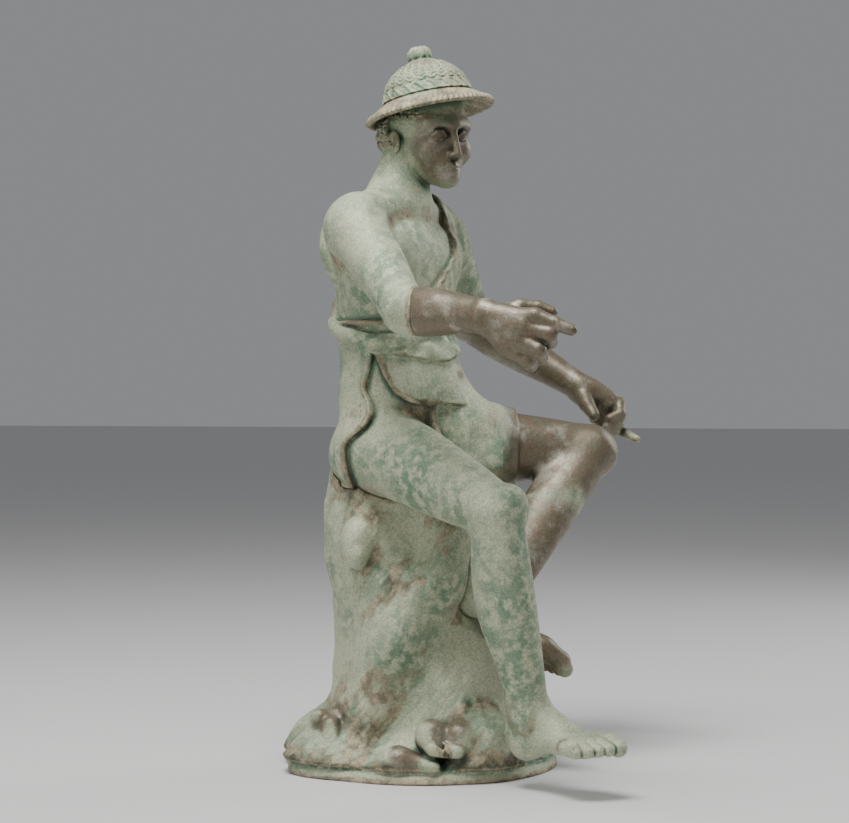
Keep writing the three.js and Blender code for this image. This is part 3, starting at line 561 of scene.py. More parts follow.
def head():
    """A calm youth's head: eyes at half its height, nose and mouth at the usual quarters below them."""
    skull = egg(on_head(-7, 0, 14), 37, 31, 32, HEAD_AXES)
    face = egg(on_head(11, 0, -3), 23.5, 24, 32, HEAD_AXES)
    jaw = [rod(on_head(22, 0, -27), on_head(2, side * 12, -19), 8.5, 11) for side in (-1, 1)]
    chin = egg(on_head(28, 0, -31), 6.5, 8.5, 6, HEAD_AXES)
    brow = [rod(on_head(31, side * 4, 10), on_head(24.5, side * 18, 10.5), 4, 4) for side in (-1, 1)]
    cheeks = [egg(on_head(23.5, side * 14, -9), 8, 8.5, 9, HEAD_AXES) for side in (-1, 1)]
    muzzle = egg(on_head(27, 0, -20), 7.5, 10.5, 9, HEAD_AXES)
    mass = join(7, [skull, face, *jaw, chin, *brow, *cheeks, muzzle])
    sockets = [egg(on_head(36, side * 10.5, 3.2), 8, 8, 4.8, HEAD_AXES) for side in (-1, 1)]
    carved = carve(5, mass, sockets)
    eyes = [egg(on_head(25.6, side * 10.8, 2.6), 6.3, 6.6, 6.3, HEAD_AXES) for side in (-1, 1)]
    lids = []
    for side in (-1, 1):
        outer, inner = on_head(26.8, side * 17.2, 1.4), on_head(31.2, side * 5.2, 1.8)
        top = [on_head(31.2, side * 14, 5.2), on_head(32.4, side * 9.4, 5.4)]
        low = [on_head(30.6, side * 14, -0.8), on_head(31.8, side * 9.4, -0.9)]
        upper = [outer, *top, inner]
        lower = [outer, *low, inner]
        lids += [rod(a, b, 1.15, 1.15) for a, b in zip(upper[:-1], upper[1:])]
        lids += [rod(a, b, 0.9, 0.9) for a, b in zip(lower[:-1], lower[1:])]
    nose = join(2.5, [
        rod(on_head(32.2, 0, 8), on_head(39.6, 0, -12), 2.5, 3.3),
        egg(on_head(35.8, -3.8, -13), 3.6, 2.4, 2.4, HEAD_AXES),
        egg(on_head(35.8, 3.8, -13), 3.6, 2.4, 2.4, HEAD_AXES),
    ])
    nostrils = [egg(on_head(37, side * 2.6, -15.6), 2.4, 1.1, 1.5, HEAD_AXES) for side in (-1, 1)]
    lips = join(1.2, [
        rod(on_head(34.6, 0, -20.6), on_head(31.2, -7.5, -21.8), 1.9, 0.8),
        rod(on_head(34.6, 0, -20.6), on_head(31.2, 7.5, -21.8), 1.9, 0.8),
        rod(on_head(33.6, -2.2, -24.2), on_head(33.6, 2.2, -24.2), 2.2, 2.2),
        rod(on_head(33.6, 0, -24.2), on_head(31, -6.6, -22.8), 1.9, 0.7),
        rod(on_head(33.6, 0, -24.2), on_head(31, 6.6, -22.8), 1.9, 0.7),
    ])
    mouth = [
        rod(on_head(37, 0, -22.4), on_head(34.2, side * 7.6, -22.4), 0.55, 0.5) for side in (-1, 1)
    ]
    features = join(2.2, [carved, nose, lips])
    features = carve(0.8, features, nostrils + mouth)
    looking = join(0.6, [features, join(0.5, eyes + lids)])
    ears = [ear(side) for side in (-1, 1)]
    return join(1.6, [looking, *ears, hair()])


def ear(side):
    """An ear: a flat egg with a hollow, and a rim round it."""
    body = egg(on_head(-3, side * 30.5, -4), 6.8, 3.6, 9.6, HEAD_AXES)
    hollow = egg(on_head(-1, side * 35, -3.2), 3.6, 3.0, 5.6, HEAD_AXES)
    return carve(1.5, body, [hollow])


def curl_pattern(around, up, size):
    """Snail curls on a staggered lattice: a round rise for each, with a groove that winds into its middle."""
    row = np.round(up / (size * 0.86))
    column = np.round(around / size - 0.5 * (row % 2))
    jitter = np.sin(row * 12.9 + column * 78.2) * 43758.5
    jitter -= np.floor(jitter)
    x = around - (column + 0.5 * (row % 2)) * size - (jitter - 0.5) * 1.6
    y = up - row * size * 0.86 - np.sin(jitter * 20) * 0.8
    off = np.hypot(x, y)
    way = np.where(jitter > 0.5, 1.0, -1.0)
    winding = np.cos(np.arctan2(y, x) * way + off * 1.75 + jitter * 6.3)
    rise = 1 - (off / (size * 0.62)) ** 2
    return 1.7 * np.maximum(rise, -0.4) + 0.75 * winding * np.clip(off / 1.2, 0, 1)


def hair():
    """Curls round the back and sides of the head and over the forehead, under the hat."""
    mass = egg(on_head(-6, 0, 3), 39.5, 34.5, 30, HEAD_AXES)

    def distance(p, ball=None):
        f, side, u = ((p - HEAD) @ HEAD_AXES.T).T
        around = np.arctan2(side, -f - 6) * 37
        d = mass.distance(p, ball) - curl_pattern(around, u, 8.2)
        edge = np.minimum(f + 5 + 0.45 * u, 15.5 - u)
        edge = np.maximum(edge, -17 - u - 0.1 * f)
        return soft_max(2.5, d, edge + 0.9 * np.sin(around * 0.75))

    return Form(mass.middle, mass.reach + 3, distance)


HAT_OUTLINE = [
    (0, 52.5), (6, 51.6), (9.3, 48.5), (9.6, 45), (8.6, 41.5), (12.5, 39.8), (19, 36.6), (26, 31.4),
    (31.5, 24.8), (34.3, 17), (35.8, 10.8), (42, 6.2), (49.6, 1.6), (51.2, -1), (49.8, -3), (46.5, -2.2),
    (38, 2.2), (33, 5), (28, 8), (0, 8),
]


def hat_places(p):
    """Height along the hat's axis, distance from it and turn about it."""
    q = p - HAT_CENTRE
    along = q @ HAT_AXIS
    side = q - along[:, None] * HAT_AXIS
    ahead = axes_of(FRONT, HAT_AXIS)
    return along, np.sqrt((side * side).sum(1)), np.arctan2(side @ ahead[1], side @ ahead[0])


def straw_pattern(p):
    """The plaited straw: herringbone columns on the crown, a band of slanted leaves, hatching on the brim."""
    along, across, turn = hat_places(p)
    arc = 37 * np.arctan2(across, along)
    column = (turn * 24 / (2 * np.pi)) % 1
    beside = np.abs(column - 0.5)
    crown = 0.42 * np.cos(2 * np.pi * (arc / 3.1 + beside * 1.7)) - 0.5 * bell(beside, 0.5, 0.10)
    crown *= ramp(along, 19.5, 21.5) * (1 - ramp(along, 38.5, 40))
    ribs = 0.45 * np.cos(9 * turn) * ramp(along, 41, 43) * ramp(across, 1, 4)
    middle = (along - 15.4) / 4.4
    leaves = 0.5 * np.cos(21 * turn + 2.4 * middle * np.abs(middle)) + 0.3 * np.cos(42 * turn + 5 * middle)
    leaves *= np.clip(1 - middle**2, 0, 1)
    lines = -0.75 * (bell(along, 19.9, 0.55) + bell(along, 10.9, 0.6) + bell(along, 38.9, 0.5))
    lines += 0.45 * (bell(along, 18.9, 0.6) + bell(along, 12.0, 0.6))
    hatch = 0.5 * np.cos(72 * turn + across * 0.55) * ramp(across, 37, 39) * (1 - ramp(along, 9.5, 10.5))
    rim = 0.5 * bell(across, 49.5, 1.6)
    outer = along > through([(0, 6), (28, 9), (38, 3), (46.5, -1.4), (60, -2.4)], across)
    return np.where(outer, crown + ribs + leaves + lines + hatch + rim, 0)


def hat():
    """A dome with a knob over a brim, an outline turned about its own leaning axis."""
    outline = np.array(HAT_OUTLINE, dtype=float)

    def distance(p, ball=None):
        along, across, _ = hat_places(p)
        nearest = np.full(len(p), np.inf)
        inside = np.zeros(len(p), bool)
        for (r0, h0), (r1, h1) in zip(outline, np.roll(outline, -1, axis=0)):
            dr, dh = r1 - r0, h1 - h0
            t = np.clip(((across - r0) * dr + (along - h0) * dh) / (dr * dr + dh * dh), 0, 1)
            nearest = np.minimum(nearest, np.hypot(across - r0 - t * dr, along - h0 - t * dh))
            if dh != 0:
                crosses = (h0 > along) != (h1 > along)
                inside ^= crosses & (across < r0 + (along - h0) / dh * dr)
        return np.where(inside, -nearest, nearest)

    return raised(Form(HAT_CENTRE, 62, distance), straw_pattern)


# The tunic and its belt

CLOTH = 3.0
HEM = 75.0
HEM_LOW = 216.0
NECKLINE = [(330, -62), (340, -52), (360, -29), (381, -8), (400, 15), (424, 23), (446, 27), (470, 30)]
THIGH_EDGE = [(-84, 4), (-72, -7), (-48, -31), (-32, -45), (-9, -64), (10, -70)]
SLIT_FRONT = [(262, -48), (276, -30), (282, -12), (289, -2), (302, 6), (318, 13)]
SLIT_BACK = [(225, 27), (250, 28), (256, 22), (263, 12), (272, 9), (283, 13), (293, 20), (303, 17), (318, 15)]


def round_body(p):
    """Turn about the body's axis, zero at the front and negative on his right."""
    return np.arctan2(p[:, 0] + 9, 20 - p[:, 1])


def belt_height(turn):
    return 346 - 8 * np.cos(turn) + 15 * np.minimum(np.sin(turn), 0.2)


def overfold_edge(turn):
    return 327 - 12 * np.cos(turn) + 6 * np.sin(turn) + 1.2 * np.sin(5 * turn)


def folds(p, turn):
    """Folds of the skirt, sharper on their crests, that run down and towards the lap."""
    x, y, z = p.T
    down = ramp(-z, -322, -296)
    wave = np.sin(10 * turn + 0.055 * z + 0.7 * np.sin(3 * turn))
    crest = 1.1 * (1 - 2 * np.sqrt(np.maximum(1 - np.abs(wave), 0)) * 0.6) * np.sign(wave)
    slanting = 0.9 * np.sin(0.21 * (x * 0.6 - z * 0.8 + 0.3 * y)) * ramp(-y, 5, 30)
    return down * (0.8 * crest + slanting)


def tunic(body):
    """The body's form grown a little, with the edges of the cloth cut out of it."""
    lap = [
        rod(point(-12, -14, 248), point(4, -54, 236), 22, 12),
        rod(point(4, -20, 262), point(36, -46, 257), 23, 18),
        rod(point(-30, -12, 252), point(-26, -48, 234), 16, 9),
        egg(point(-9, -4, 286), 20, 36, 36),
    ]
    form = join(26, [body, *lap])
    thigh = (LEFT_KNEE - LEFT_HIP) / np.linalg.norm(LEFT_KNEE - LEFT_HIP)

    def distance(p, ball=None):
        x, y, z = p.T
        loose = form.distance(p, ball)
        if not (np.abs(loose) < 20).any():
            return loose
        close = body.distance(p, ball)
        back_edge = (through(SLIT_BACK, z - 3) + through(SLIT_BACK, z) + through(SLIT_BACK, z + 3)) / 3
        behind = y - back_edge
        turn = round_body(p)
        overlap = z - overfold_edge(turn)
        slit = np.maximum(np.maximum(x + 30, through(SLIT_FRONT, z) - y), np.maximum(behind, overlap))
        bare_thigh = np.maximum((x - through(THIGH_EDGE, y) + 4) * 0.7, behind)
        past_hem = (p - LEFT_HIP) @ thigh - HEM
        bare_chest = (through(NECKLINE, z) - x) * 0.8
        upper = np.maximum(np.maximum(bare_chest, 325 - z), x - 58)
        lower = np.maximum(-0.8 * np.minimum(slit, bare_thigh), np.maximum(past_hem, z - 345))
        edge = np.minimum(upper, np.maximum(lower, HEM_LOW - z))
        band = ramp(overlap, 0, 2.2) * (1 - ramp(z - belt_height(turn), -3, 3))
        band *= 3.6 + 0.9 * np.sin(9 * turn + 0.35 * z) + 0.6 * np.sin(17 * turn - 0.2 * z)
        hem = 1.0 * bell(edge, -2.6, 2.6) + 1.3 * bell(edge, -1.6, 1.8) * ramp(-x, -10, 30)
        chest_folds = 0.8 * np.sin(0.42 * (x + 0.55 * (z - 330))) * ramp(z, 345, 365)
        thickness = CLOTH + hem + folds(p, turn) + band + chest_folds
        return soft_max(1.6, close + (loose - close) * ramp(-edge, 0, 22) - thickness, edge)

    return Form(form.middle, form.reach + 6, distance)


def belt():
    """The rolled belt, a rope of cloth, low on the right side and thicker there."""
    turn = np.linspace(0, 2 * np.pi, 33)
    knots = np.stack([-9 + 51 * np.sin(turn), 23 - 44 * np.cos(turn), belt_height(turn)], 1)
    thick = 4.6 + 1.0 * np.maximum(-np.sin(turn), 0) + 0.5 * np.sin(np.arange(33) * 1.7)
    return join(0.5, [rod(*part) for part in zip(knots[:-1], knots[1:], thick[:-1], thick[1:])])


def figure():
    right_leg = leg(RIGHT_HIP, RIGHT_KNEE, RIGHT_ANKLE, RIGHT, axes_of(point(0.25, -0.97, 0.1), UP)[0])
    left_leg = leg(LEFT_HIP, LEFT_KNEE, LEFT_ANKLE, LEFT, axes_of(point(0.45, -0.75, -0.5), UP)[0])
    right_foot = foot(RIGHT_KNEE, RIGHT_ANKLE, point(-64, -107, 22), axes_of(point(-0.25, -0.96, 0.1), UP), 1, 98)
    left_axes = axes_of(point(0.38, -0.72, -0.59), point(0.5, -0.3, 0.8))
    left_foot = foot(LEFT_KNEE, LEFT_ANKLE, point(-25, -32, 132), left_axes, -1, 114)
    left_heel = egg(point(-11, -47, 144), 15, 13, 25)
    legs = join(12, [torso(), right_leg, left_leg])
    arms = [upper_arm(LEFT_SHOULDER, LEFT_ELBOW, LEFT), upper_arm(RIGHT_SHOULDER, RIGHT_ELBOW, RIGHT)]
    fore = [forearm(LEFT_ELBOW, LEFT_WRIST, UP, LEFT), forearm(RIGHT_ELBOW, RIGHT_WRIST, UP, RIGHT)]
    body = join(6, [join(14, [legs, *arms]), *fore, right_foot, join(8, [left_foot, left_heel])])
    dressed = join(1.5, [body, tunic(legs), belt()])
    return join(2, [dressed, left_hand(), head(), hat()])


# The right forearm beyond its seam

SEAM_POINT = point(-129, -62, 347)
SEAM_NORMAL = point(0.275, -0.961, 0) / np.linalg.norm(point(0.275, -0.961, 0))


def beyond_seam(p):
    """How far points lie past the seam plane, inside a box round the forearm, and negative outside that box."""
    q = p - SEAM_POINT
    across = np.cross(SEAM_NORMAL, UP)
    return np.minimum(q @ SEAM_NORMAL, np.minimum(80 - np.abs(q @ UP), 80 - np.abs(q @ across)))


def before_the_seam(form):
    def distance(p, ball=None):
        return np.maximum(form.distance(p, ball), beyond_seam(p) + SEAM_GAP / 2)

    return Form(form.middle, form.reach, distance)


def past_the_seam(form):
    def distance(p, ball=None):
        return np.maximum(form.distance(p, ball), SEAM_GAP / 2 - beyond_seam(p))

    return Form(form.middle, form.reach, distance)


def right_forearm():
    return join(5, [forearm(RIGHT_ELBOW, RIGHT_WRIST, UP, RIGHT), right_hand()])


# The rock and the ground


def waves(x, y, z):
    """A wavy value between about -1 and 1 made of a few slanted waves."""
    slow = np.sin(x * 0.062 + 1.3 * np.sin(z * 0.041) + 0.4) * np.cos(y * 0.055 + 0.9 * np.sin(x * 0.037))
    quick = np.sin(y * 0.11 + z * 0.073 + 1.7) * np.cos(x * 0.093 - z * 0.052)
    return 0.6 * slow + 0.3 * quick


SIGHT = axes_of(point(-0.883, -0.469, 0), UP)


def rock():
    column = limb(
        point(-9, 18, 4), point(-9, 20, 226), FRONT, LEFT,
        front=[100, 98, 92, 76, 58, 56, 62, 58], back=[76, 58, 49, 48, 50, 54, 56, 50],
        outer=[84, 66, 60, 58, 60, 64, 64, 58], inner=[78, 60, 52, 50, 52, 56, 58, 54], cap=0.3,
    )
    plate = limb(
        point(0, 0, 0), point(0, 0, 9), FRONT, LEFT,
        front=[104, 103, 100], back=[104, 102, 98], outer=[103, 102, 99], inner=[104, 102, 98], cap=0.06,
    )
    humps = [
        egg(point(-46, -76, 30), 22, 20, 20),
        egg(point(-76, 44, 10), 26, 24, 24),
        egg(point(54, 34, 22), 32, 30, 22),
        egg(point(44, -46, 18), 28, 28, 18),
        egg(point(-20, 76, 18), 22, 30, 20),
    ]
    ridge = [point(-28, -38, 178), point(-42, -28, 146), point(-56, -4, 104), point(-62, 16, 50)]
    ridges = [rod(a, b, 17, 17) for a, b in zip(ridge[:-1], ridge[1:])]
    knob = [egg(point(-65, 24, 176), 13, 12, 17, SIGHT), egg(point(-69, 21, 165), 9, 8, 8, SIGHT)]
    hollows = [
        egg(point(-64, -20, 184), 20, 22, 34, SIGHT),
        egg(point(-66, -2, 208), 14, 30, 16, SIGHT),
        egg(point(-74, 16, 148), 9, 16, 13, SIGHT),
        egg(point(-47, -60, 94), 17, 20, 26, SIGHT),
    ]
    body = join(24, [column, plate, *humps, *ridges])
    tool = join(14, hollows)
    shells = creatures()

    def distance(p, ball=None):
        x, y, z = p.T
        d = body.distance(p, ball)
        d = soft_max(14, d, -tool.distance(p, ball))
        d = soft_min(9, d, join(5, knob).distance(p, ball))
        near = np.abs(d) < 12
        lift = 3.0 * waves(x, y, z) + 1.1 * waves(x * 2.7 + 40, y * 2.7, z * 2.1) + 0.5 * waves(x * 7, y * 7, z * 7)
        d = np.where(near, d - lift * np.minimum(1, np.maximum(z - 2, 0) / 12), d)
        return np.maximum(soft_min(5, d, shells.distance(p, ball)), -z)

    return Form(body.middle, body.reach + 5, distance)


def creatures():
    """What lies at the rock's foot: a shell with a blunt snout, a split sea creature and a tapering fish."""
    along = axes_of(point(0.47, -0.88, 0.03), UP)
    shell = join(4, [
        egg(point(-74, 42, 31), 13, 12, 17),
        egg(point(-82, 47, 43), 7, 7, 6),
        rod(point(-84, 36, 38), point(-88, 33, 22), 5.5, 4.5),
        rod(point(-76, 54, 40), point(-82, 58, 22), 5, 4),
    ])
    split = join(3.5, [
        egg(point(-75, -46, 33), 13, 13, 14, along),
        egg(point(-66, -64, 32), 13, 12, 13, along),
        rod(point(-84, -52, 26), point(-76, -68, 24), 6, 5),
    ])
    split = carve(2.5, split, [rod(point(-86, -52, 40), point(-82, -62, 22), 1.6, 1.6)])
    fish = join(5, [
        egg(point(-90, -24, 17), 14, 12, 10, along),
        rod(point(-90, -26, 17), point(-84, -52, 13), 9, 5),
        rod(point(-92, -14, 12), point(-90, -6, 9), 7, 8),
    ])
    return join(4, [shell, split, fish])


def clear_of(form, other, gap):
    """A form cut back to stay the gap away from another one."""

    def distance(p, ball=None):
        d = form.distance(p, ball)
        return d if far_from(other, ball) else np.maximum(d, gap - other.distance(p, ball))

    return Form(form.middle, form.reach, distance)


# Meshes


def mesh_of(name, corners, faces):
    """A mesh in metres from corners in millimetres and faces of three or four corners."""
    mesh = bpy.data.meshes.new(name)
    mesh.vertices.add(len(corners))
    mesh.vertices.foreach_set("co", (corners / 1000).astype(np.float32).ravel())
    sides = faces.shape[1]
    mesh.loops.add(faces.size)
    mesh.loops.foreach_set("vertex_index", faces.astype(np.int32).ravel())
    mesh.polygons.add(len(faces))
    mesh.polygons.foreach_set("loop_start", np.arange(0, faces.size, sides, dtype=np.int32))
    mesh.update(calc_edges=True)
    mesh.validate()
    return mesh


def corners_of(mesh):
    corners = np.empty(len(mesh.vertices) * 3, dtype=np.float32)
    mesh.vertices.foreach_get("co", corners)
    return corners.reshape(-1, 3).astype(float) * 1000


def triangles_of(mesh):
    mesh.calc_loop_triangles()
    triangles = np.empty(len(mesh.loop_triangles) * 3, dtype=np.int32)
    mesh.loop_triangles.foreach_get("vertices", triangles)
    return triangles.reshape(-1, 3)


def thinned(name, corners, triangles, wanted):
    """Fewer triangles, the flattest places first."""
    if len(triangles) <= wanted:
        return corners, triangles
    rough = bpy.data.objects.new(name + "_rough", mesh_of(name + "_rough", corners, triangles))
    bpy.context.scene.collection.objects.link(rough)
    modifier = rough.modifiers.new("thin", "DECIMATE")
    modifier.ratio = wanted / len(triangles)
    bpy.context.view_layer.update()
    done = rough.evaluated_get(bpy.context.evaluated_depsgraph_get()).to_mesh()
    result = corners_of(done), triangles_of(done)
    rough_mesh = rough.data
    bpy.data.objects.remove(rough)
    bpy.data.meshes.remove(rough_mesh)
    return result


def hollow_and_ridge(form, corners, normals):
    """Two masks from 0 to 1 that tell where the surface sinks in and where it stands proud.

    A hollow is where the distance a little way out is smaller than that way, a ridge where the depth a little
    way in is smaller.
    """
    # The hollow mask sets the deeper green patina of the hollows and also the painted shade, near black, in the deepest
    # of them
    hollow = np.zeros(len(corners))
    ridge = np.zeros(len(corners))
    for reach, share in ((1.5, 0.35), (4.0, 0.35), (10.0, 0.3)):
        hollow += share * np.clip(1 - values_of(form, corners + normals * reach) / reach, 0, 1)
    for reach, share in ((1.5, 0.5), (4.0, 0.5)):
        ridge += share * np.clip(1 + values_of(form, corners - normals * reach) / reach, 0, 1)
    return np.clip(hollow * 1.6, 0, 1), np.clip(ridge * 2.2, 0, 1)


def near_places(corners, places):
    """A mask from 0 to 1: the greatest of soft balls of (x, y, z, radius, strength)."""
    mask = np.zeros(len(corners))
    for x, y, z, radius, strength in places:
        off = np.linalg.norm(corners - point(x, y, z), axis=1)
        mask = np.maximum(mask, strength * (1 - ramp(off, radius * 0.45, radius)))
    return mask


def cast_piece(name, form, low, high, cell, wanted, fine=()):
    """The finished mesh of a form, with finer triangles near the places in fine as (x, y, z, radius)."""
    corners, quads = grid_surface(form, low, high, cell)
    triangles = split_quads(corners, quads)
    if fine:
        corners, triangles = refine(corners, triangles, lambda p: near_places(p, [(*f, 1) for f in fine]) > 0)
    corners = settle(form, corners, 1, cell)
    corners, triangles = thinned(name, corners, triangles, wanted)
    corners = settle(form, corners, 1, 0.3)
    mesh = mesh_of(name, corners, triangles)
    normals = slopes_of(form, corners)
    hollow, ridge = hollow_and_ridge(form, corners, normals)
    for word, values in (("hollow", hollow), ("ridge", ridge)):
        mesh.attributes.new(word, "FLOAT", "POINT").data.foreach_set("value", values.astype(np.float32))
    mesh.shade_smooth()
    piece = bpy.data.objects.new(name, mesh)
    bpy.context.scene.collection.objects.link(piece)
    return piece, corners


def mark(piece, word, values):
    piece.data.attributes.new(word, "FLOAT", "POINT").data.foreach_set("value", values.astype(np.float32))


# Materials


def node(tree, kind, place=(0, 0), **values):
    made = tree.nodes.new(kind)
    made.location = place
    for key, value in values.items():
        if key in made.inputs:
            made.inputs[key].default_value = value
        else:
            setattr(made, key, value)
    return made


def mix_colour(tree, factor, a, b, blend="MIX"):
    made = tree.nodes.new("ShaderNodeMix")
    made.data_type = "RGBA"
    made.blend_type = blend
    for socket, value in ((made.inputs[0], factor), (made.inputs[6], a), (made.inputs[7], b)):
        if isinstance(value, (tuple, float, int)):
            socket.default_value = value
        else:
            tree.links.new(value, socket)
    return made.outputs[2]


def maths(tree, operation, *values, clamp=False):
    made = tree.nodes.new("ShaderNodeMath")
    made.operation = operation
    made.use_clamp = clamp
    for socket, value in zip(made.inputs, values):
        if isinstance(value, (float, int)):
            socket.default_value = value
        else:
            tree.links.new(value, socket)
    return made.outputs[0]


def noise(tree, coordinates, scale, detail=4.0, rough=0.55, distortion=0.0):
    made = tree.nodes.new("ShaderNodeTexNoise")
    made.inputs["Scale"].default_value = scale
    made.inputs["Detail"].default_value = detail
    made.inputs["Roughness"].default_value = rough
    made.inputs["Distortion"].default_value = distortion
    tree.links.new(coordinates, made.inputs["Vector"])
    return made.outputs["Fac"]


def stretch(tree, value, low, high):
    """A value spread so that low gives 0 and high gives 1."""
    made = tree.nodes.new("ShaderNodeMapRange")
    made.interpolation_type = "SMOOTHSTEP"
    tree.links.new(value, made.inputs["Value"])
    made.inputs["From Min"].default_value = low
    made.inputs["From Max"].default_value = high
    return made.outputs["Result"]


PALE_GREEN = (0.34, 0.36, 0.25, 1)
DEEP_GREEN = (0.12, 0.185, 0.12, 1)
TAN = (0.30, 0.235, 0.155, 1)
BROWN = (0.115, 0.085, 0.055, 1)
OLIVE = (0.11, 0.10, 0.066, 1)
GREY_LIGHT = (0.34, 0.33, 0.27, 1)
# The next colour is painted shade: near black for the deepest hollows
HOLLOW_SHADE_BLACK = (0.018, 0.024, 0.017, 1)


def patina(name, brown_cast):
    """Cast bronze under a patina: pale green in patches, deeper green in hollows, rubbed tan and brown on rises, and
    painted shade near black in the deepest hollows.
    """
    material = bpy.data.materials.new(name)
    material.use_nodes = True
    tree = material.node_tree
    tree.nodes.clear()
    output = node(tree, "ShaderNodeOutputMaterial", (900, 0))
    shader = node(tree, "ShaderNodeBsdfPrincipled", (600, 0))
    tree.links.new(shader.outputs[0], output.inputs[0])
    place = node(tree, "ShaderNodeTexCoord", (-1400, 0)).outputs["Object"]

    def attribute(word):
        return node(tree, "ShaderNodeAttribute", (-1400, -300), attribute_name=word).outputs["Fac"]

    hollow, ridge, brown = attribute("hollow"), attribute("ridge"), attribute("brown")
    large = noise(tree, place, 14.0, 3.0)
    patches = noise(tree, place, 42.0, 5.0, 0.6)
    blotches = noise(tree, place, 120.0, 5.0, 0.6)
    grain = noise(tree, place, 620.0, 3.0, 0.7)
    speck = noise(tree, place, 1500.0, 2.0, 0.6)

    green = mix_colour(tree, stretch(tree, large, 0.35, 0.7), PALE_GREEN, DEEP_GREEN)
    green = mix_colour(tree, stretch(tree, blotches, 0.42, 0.62), green, PALE_GREEN)
    depth = maths(tree, "ADD", hollow, maths(tree, "MULTIPLY", patches, 0.5))
    green = mix_colour(tree, stretch(tree, depth, 0.45, 0.95), green, DEEP_GREEN)
    rubbed = maths(tree, "ADD", maths(tree, "MULTIPLY", ridge, 0.45), patches)
    warm = mix_colour(tree, stretch(tree, blotches, 0.4, 0.6), TAN, BROWN)
    green = mix_colour(tree, maths(tree, "MULTIPLY", stretch(tree, rubbed, 0.62, 0.85), 0.75), green, warm)
    dark = mix_colour(tree, stretch(tree, blotches, 0.35, 0.65), OLIVE, BROWN)
    dark = mix_colour(tree, maths(tree, "MULTIPLY", stretch(tree, patches, 0.5, 0.7), 0.5), dark, GREY_LIGHT)
    browned = maths(tree, "ADD", maths(tree, "MULTIPLY", maths(tree, "SUBTRACT", patches, 0.5), 0.9), brown)
    colour = mix_colour(tree, stretch(tree, browned, 0.25, 0.75), green, dark)
    # Painted shade: the deepest hollows are darkened nearly to black, standing in for the shade that falls in them
    colour = mix_colour(tree, maths(tree, "MULTIPLY", stretch(tree, hollow, 0.55, 1.0), 0.7), colour, HOLLOW_SHADE_BLACK)
    colour = mix_colour(tree, maths(tree, "MULTIPLY", stretch(tree, grain, 0.35, 0.65), 0.5), colour, (1, 1, 1, 1), "OVERLAY")
    tree.links.new(colour, shader.inputs["Base Color"])

    shine = mix_colour(tree, stretch(tree, browned, 0.25, 0.8), (0.68, 0.68, 0.68, 1), (0.42, 0.42, 0.42, 1))
    rough = maths(tree, "ADD", shine, maths(tree, "MULTIPLY", maths(tree, "SUBTRACT", blotches, 0.5), 0.35), clamp=True)
    tree.links.new(rough, shader.inputs["Roughness"])
    shader.inputs["Metallic"].default_value = 0.35
    shader.inputs["Specular IOR Level"].default_value = 0.5

    height = maths(tree, "ADD", maths(tree, "MULTIPLY", grain, 0.5), maths(tree, "MULTIPLY", blotches, 1.2))
    height = maths(tree, "ADD", height, maths(tree, "MULTIPLY", speck, 0.25))
    bump = node(tree, "ShaderNodeBump", (300, -400))
    bump.inputs["Strength"].default_value = 0.6
    bump.inputs["Distance"].default_value = 0.0006
    tree.links.new(height, bump.inputs["Height"])
    tree.links.new(bump.outputs["Normal"], shader.inputs["Normal"])
    return material


# Pieces

FIGURE = before_the_seam(figure())
FOREARM = past_the_seam(right_forearm())
ROCK = clear_of(rock(), FIGURE, SEAT_GAP)
FINE = [
    (0, -8, 515, 66), (-10, -25, 485, 55), (146, -98, 272, 36), (-85, -185, 30, 40), (8, -110, 75, 42),
]

statue, statue_corners = cast_piece(
    "youth", FIGURE, (-176, -226, 8), (176, 96, 568), FIGURE_CELL, FIGURE_TRIANGLES, FINE
)
hand, hand_corners = cast_piece("pointing_forearm", FOREARM, (-176, -206, 290), (-95, -20, 376), ARM_CELL, ARM_TRIANGLES)
seat, seat_corners = cast_piece("rock_with_creatures", ROCK, (-116, -116, -3), (116, 116, 252), ROCK_CELL, ROCK_TRIANGLES)

mark(statue, "brown", near_places(statue_corners, [
    (150, -60, 300, 90, 1), (110, -60, 330, 60, 0.9), (75, -70, 240, 70, 0.9), (95, -105, 235, 60, 1),
    (40, -80, 170, 60, 0.8), (15, -90, 110, 60, 1), (-5, -25, 480, 45, 0.75), (130, 10, 350, 50, 0.8),
]))
mark(hand, "brown", np.ones(len(hand_corners)))
mark(seat, "brown", near_places(seat_corners, [
    (-76, 40, 40, 22, 0.7), (-70, -56, 42, 26, 0.7), (-92, -34, 22, 20, 0.7), (-66, 24, 176, 18, 0.5),
]))

green_bronze = patina("green_bronze", 0.0)
brown_bronze = patina("brown_bronze", 1.0)
for piece, stands_for, material, slot in (
    (statue, "figure", green_bronze, "green_bronze"),
    (hand, "right_forearm", brown_bronze, "brown_bronze"),
    (seat, "rock_seat", green_bronze, "green_bronze"),
):
    piece.data.materials.append(material)
    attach(piece, "root")
    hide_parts(stands_for)


# Floor, light and camera

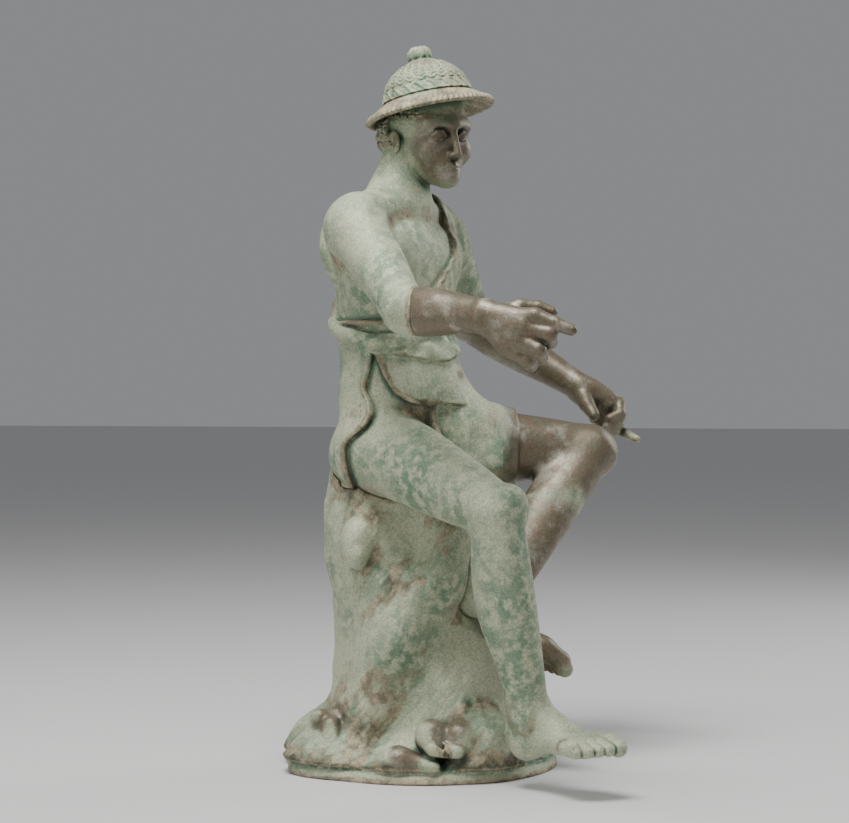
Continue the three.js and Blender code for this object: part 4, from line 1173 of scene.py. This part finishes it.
floor_mesh = mesh_of("floor", np.array([[-1, -1, 0], [1, -1, 0], [1, 1, 0], [-1, 1, 0]]) * 3e4 - [0, 0, 0.3], np.array([[0, 1, 2, 3]]))
floor = bpy.data.objects.new("floor", floor_mesh)
bpy.context.scene.collection.objects.link(floor)
floor_paint = bpy.data.materials.new("pale_floor")
floor_paint.use_nodes = True
floor_paint.node_tree.nodes["Principled BSDF"].inputs["Base Color"].default_value = (0.62, 0.61, 0.60, 1)
floor_paint.node_tree.nodes["Principled BSDF"].inputs["Roughness"].default_value = 0.6
floor_mesh.materials.append(floor_paint)

world = bpy.data.worlds.new("studio")
world.use_nodes = True
world.node_tree.nodes["Background"].inputs[0].default_value = (0.80, 0.82, 0.85, 1)
world.node_tree.nodes["Background"].inputs[1].default_value = 0.32
bpy.context.scene.world = world


def soft_light(name, place, size, power, target=(0, 0, 0.28)):
    lamp = bpy.data.lights.new(name, "AREA")
    lamp.shape = "RECTANGLE"
    lamp.size, lamp.size_y = size
    lamp.energy = power
    made = bpy.data.objects.new(name, lamp)
    made.location = place
    made.rotation_euler = (Vector(target) - Vector(place)).to_track_quat("-Z", "Y").to_euler()
    bpy.context.scene.collection.objects.link(made)


# The camera stands level, 1.61 m from the statue's axis and 62 degrees round to its right front
AZIMUTH = np.radians(62)
TOWARDS = np.array([-np.sin(AZIMUTH), -np.cos(AZIMUTH), 0])
ACROSS = np.array([np.cos(AZIMUTH), -np.sin(AZIMUTH), 0])
DISTANCE, CAMERA_HEIGHT, FOCAL_PIXELS, WIDTH = 1.610, 0.275, 2050.0, 849.0

soft_light("key", tuple(TOWARDS * 0.55 - ACROSS * 0.25 + np.array([0, 0, 1.75])), (0.9, 0.7), 46)
soft_light("left_fill", tuple(TOWARDS * 1.0 - ACROSS * 1.5 + np.array([0, 0, 0.7])), (0.8, 1.2), 6)
soft_light("rim", tuple(-TOWARDS * 0.9 + ACROSS * 1.4 + np.array([0, 0, 0.9])), (0.6, 1.2), 12)

lens = bpy.data.cameras.new("camera")
lens.sensor_width = 36
lens.lens = 36 * FOCAL_PIXELS / WIDTH
camera = bpy.data.objects.new("camera", lens)
camera.location = tuple(TOWARDS * DISTANCE + np.array([0, 0, CAMERA_HEIGHT]))
camera.rotation_euler = (-Vector(tuple(TOWARDS))).to_track_quat("-Z", "Y").to_euler()
bpy.context.scene.collection.objects.link(camera)
bpy.context.scene.camera = camera
